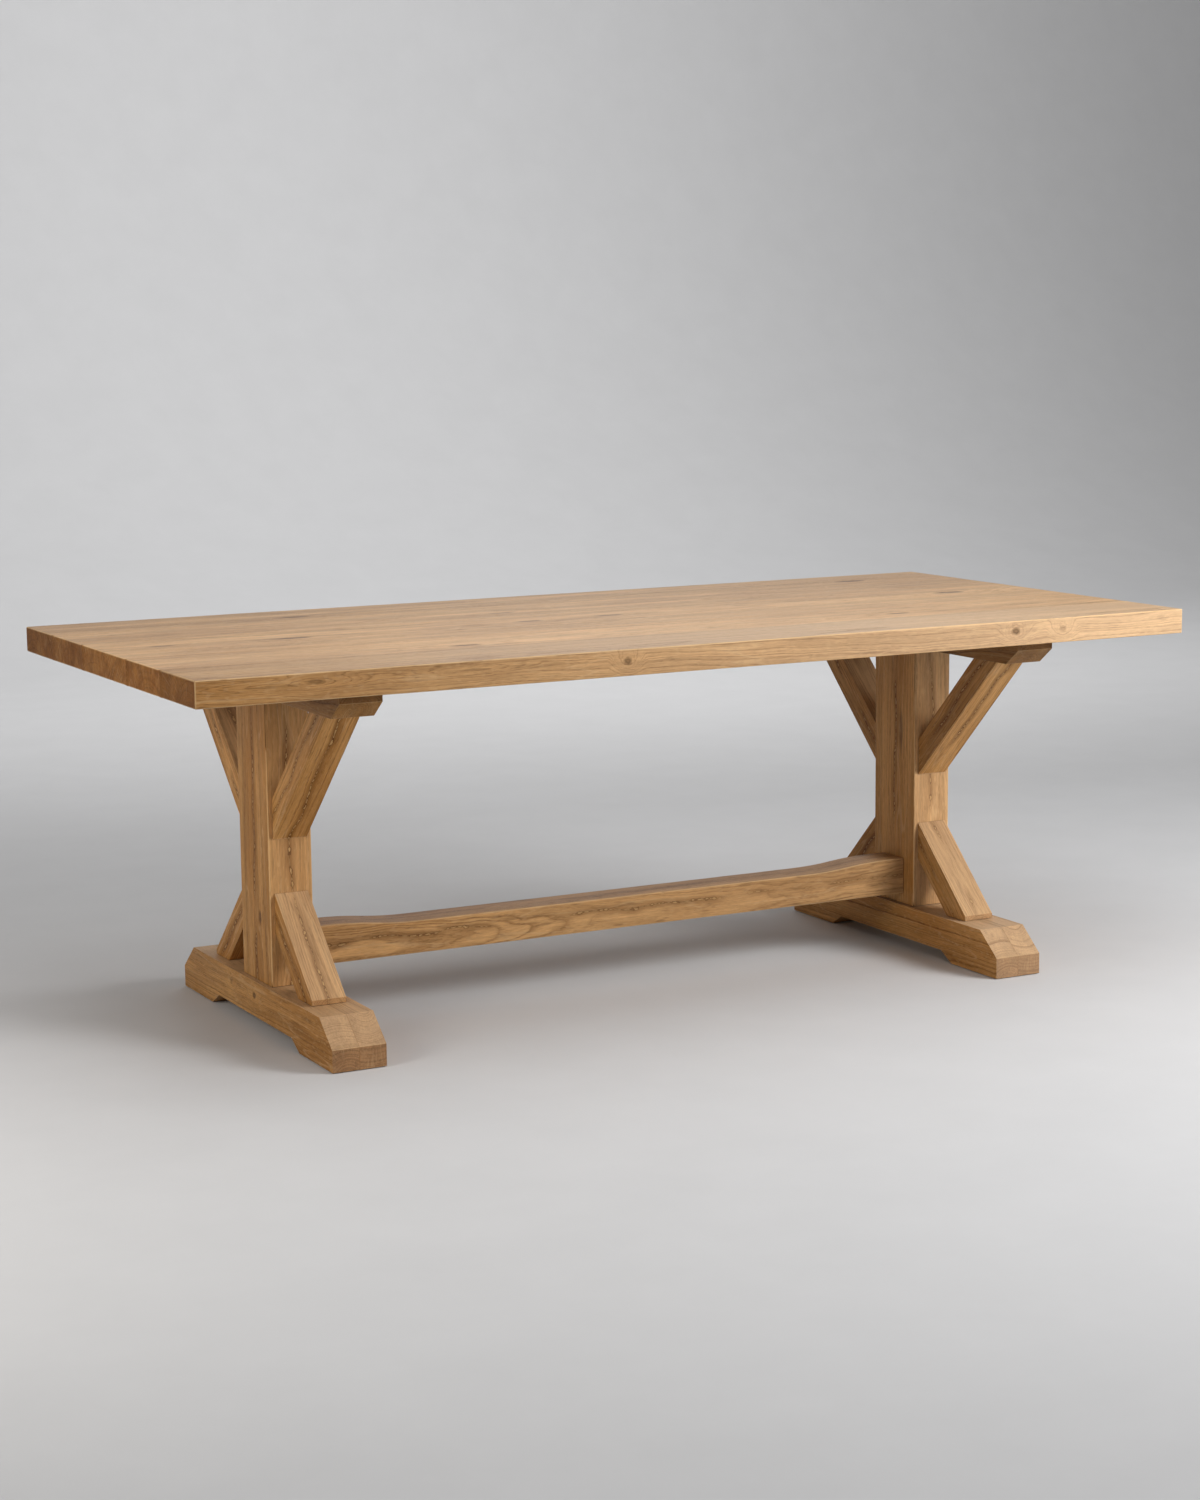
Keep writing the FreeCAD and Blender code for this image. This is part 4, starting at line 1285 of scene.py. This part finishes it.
def platedMetal(name, look, pitch, axis, axisHeight):
    # thin zinc over turned or pressed metal: bright and slightly cloudy, darker down in a thread
    material, add = newMaterial(name)
    found = add("TexCoord")
    place = add("Mapping", {"Vector": found.outputs["Object"], "Location": (0.0, 0.0, axisHeight * mm)},
                vector_type="TEXTURE")
    cloudy = add("TexNoise", {"Vector": place, "Scale": 1 / (look["mottle"] * mm), "Detail": 3.0})
    dulled = add("MapRange", {"Value": cloudy, "From Min": 0.42, "From Max": 0.64}, **softly)
    spotted = add("TexNoise", {"Vector": place, "Scale": 1 / (look["spots"] * mm), "Detail": 2.0})
    smudged = add("MapRange", {"Value": spotted, "From Min": 0.6, "From Max": 0.78,
                               "To Max": look["smudging"]})
    bright, dull, smudge = [linear(look[shade]) for shade in ("bright", "dull", "smudge")]
    colour = add("Mix", {"Factor": dulled, "A": bright, "B": dull}, data_type="RGBA")
    colour = add("Mix", {"Factor": smudged, "A": colour, "B": smudge}, data_type="RGBA")
    rough = add("Math", {0: dulled, 1: look["dullness"], 2: look["roughness"]}, operation="MULTIPLY_ADD")
    height = add("Math", {0: spotted, 1: look["plating"] * mm}, operation="MULTIPLY")
    if pitch:  # a screw thread, only round the shank
        apart = add("SeparateXYZ", {"Vector": place})
        facing = add("SeparateXYZ", {"Vector": found.outputs["Normal"]})
        twist = 0.0
        if axis == "X":
            twist = add("Math", {0: apart.outputs["Z"], 1: apart.outputs["Y"]}, operation="ARCTAN2")
        phase = add("Math", {0: apart.outputs[axis], 1: 2 * math.pi / (pitch * mm), 2: twist},
                    operation="MULTIPLY_ADD")
        ridge = add("Math", {0: phase}, operation="SINE")
        endOn = add("Math", {0: facing.outputs[axis]}, operation="ABSOLUTE")
        shank = add("MapRange", {"Value": endOn, "From Min": 0.1, "From Max": 0.5, **falling})
        thread = add("Math", {0: ridge, 1: shank}, operation="MULTIPLY")
        height = add("Math", {0: thread, 1: look["threadDepth"] * mm, 2: height}, operation="MULTIPLY_ADD")
        groove = add("MapRange", {"Value": thread, "From Min": -1.0, "From Max": 0.2,
                                  "To Min": look["smudging"], "To Max": 0.0})
        colour = add("Mix", {"Factor": groove, "A": colour, "B": smudge}, data_type="RGBA")
    bump = add("Bump", {"Height": height, "Distance": 1.0, "Strength": 1.0})
    shader = add("BsdfPrincipled", {"Base Color": colour, "Metallic": 1.0, "Roughness": rough,
                                    "Normal": bump})
    add("OutputMaterial", {"Surface": shader.outputs[0]})
    return material


def mouldedNylon(look):  # dark, dull and waxy, scuffed pale where it slides on the floor
    material, add = newMaterial("moulded nylon, dark brown")
    place = add("TexCoord").outputs["Object"]
    skin = add("TexNoise", {"Vector": place, "Scale": 1 / (look["grain"] * mm), "Detail": 2.0})
    cloudy = add("TexNoise", {"Vector": place, "Scale": 1 / (look["cloud"] * mm), "Detail": 3.0})
    dragged = add("VectorMath", {0: place, 1: rate(*look["scratch"])}, operation="MULTIPLY")
    scratched = add("TexNoise", {"Vector": dragged, "Scale": 1.0, "Detail": 3.0})
    scratches = add("MapRange", {"Value": scratched, "From Min": 0.45, "From Max": 0.65})
    upwards = add("SeparateXYZ", {"Vector": place}).outputs["Z"]
    scuffTop = look["scuffHeight"] * mm
    low = add("MapRange", {"Value": upwards, "From Min": 0.0, "From Max": scuffTop, **falling})
    scuffed = add("Math", {0: low, 1: scratches}, operation="MULTIPLY")
    shaded = add("MapRange", {"Value": cloudy, "From Min": 0.3, "From Max": 0.7,
                              "To Min": 0.85, "To Max": 1.2})
    colour = add("VectorMath", {0: linear(look["body"])[:3], "Scale": shaded}, operation="SCALE")
    colour = add("Mix", {"Factor": scuffed, "A": colour, "B": linear(look["scuffed"])}, data_type="RGBA")
    rough = add("Math", {0: skin, 1: look["grainRoughness"], 2: look["roughness"]}, operation="MULTIPLY_ADD")
    height = add("Math", {0: skin, 1: look["grainHeight"] * mm}, operation="MULTIPLY")
    bump = add("Bump", {"Height": height, "Distance": 1.0, "Strength": 1.0})
    shader = add("BsdfPrincipled", {"Base Color": colour, "Roughness": rough, "Normal": bump, "IOR": 1.53})
    add("OutputMaterial", {"Surface": shader.outputs[0]})
    return material


def giveFinish(node, material):
    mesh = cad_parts[node].data
    for number in range(len(mesh.materials)):
        mesh.materials[number] = material
    if not mesh.materials:
        mesh.materials.append(material)


for node, axes in (("top_tongues", alongX), ("brace_tenons_left", alongZ), ("brace_tenons_right", alongZ)):
    low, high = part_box(node)
    title = "bare planed oak, " + node.replace("_", " ")
    giveFinish(node, oakMaterial(title, (low + high) / 2, axes, bareOak))
for metal, finish in (("zinc-plated steel", steel), ("yellow zinc alloy", yellowZinc)):
    for node, pitch, axis, axisHeight in finish["pieces"]:
        title = "%s, %s" % (metal, node.replace("_", " "))
        giveFinish(node, platedMetal(title, finish, pitch, axis, axisHeight))
glideNylon = mouldedNylon(nylon)
for node in nylon["nodes"]:
    giveFinish(node, glideNylon)
print("fixings finished")
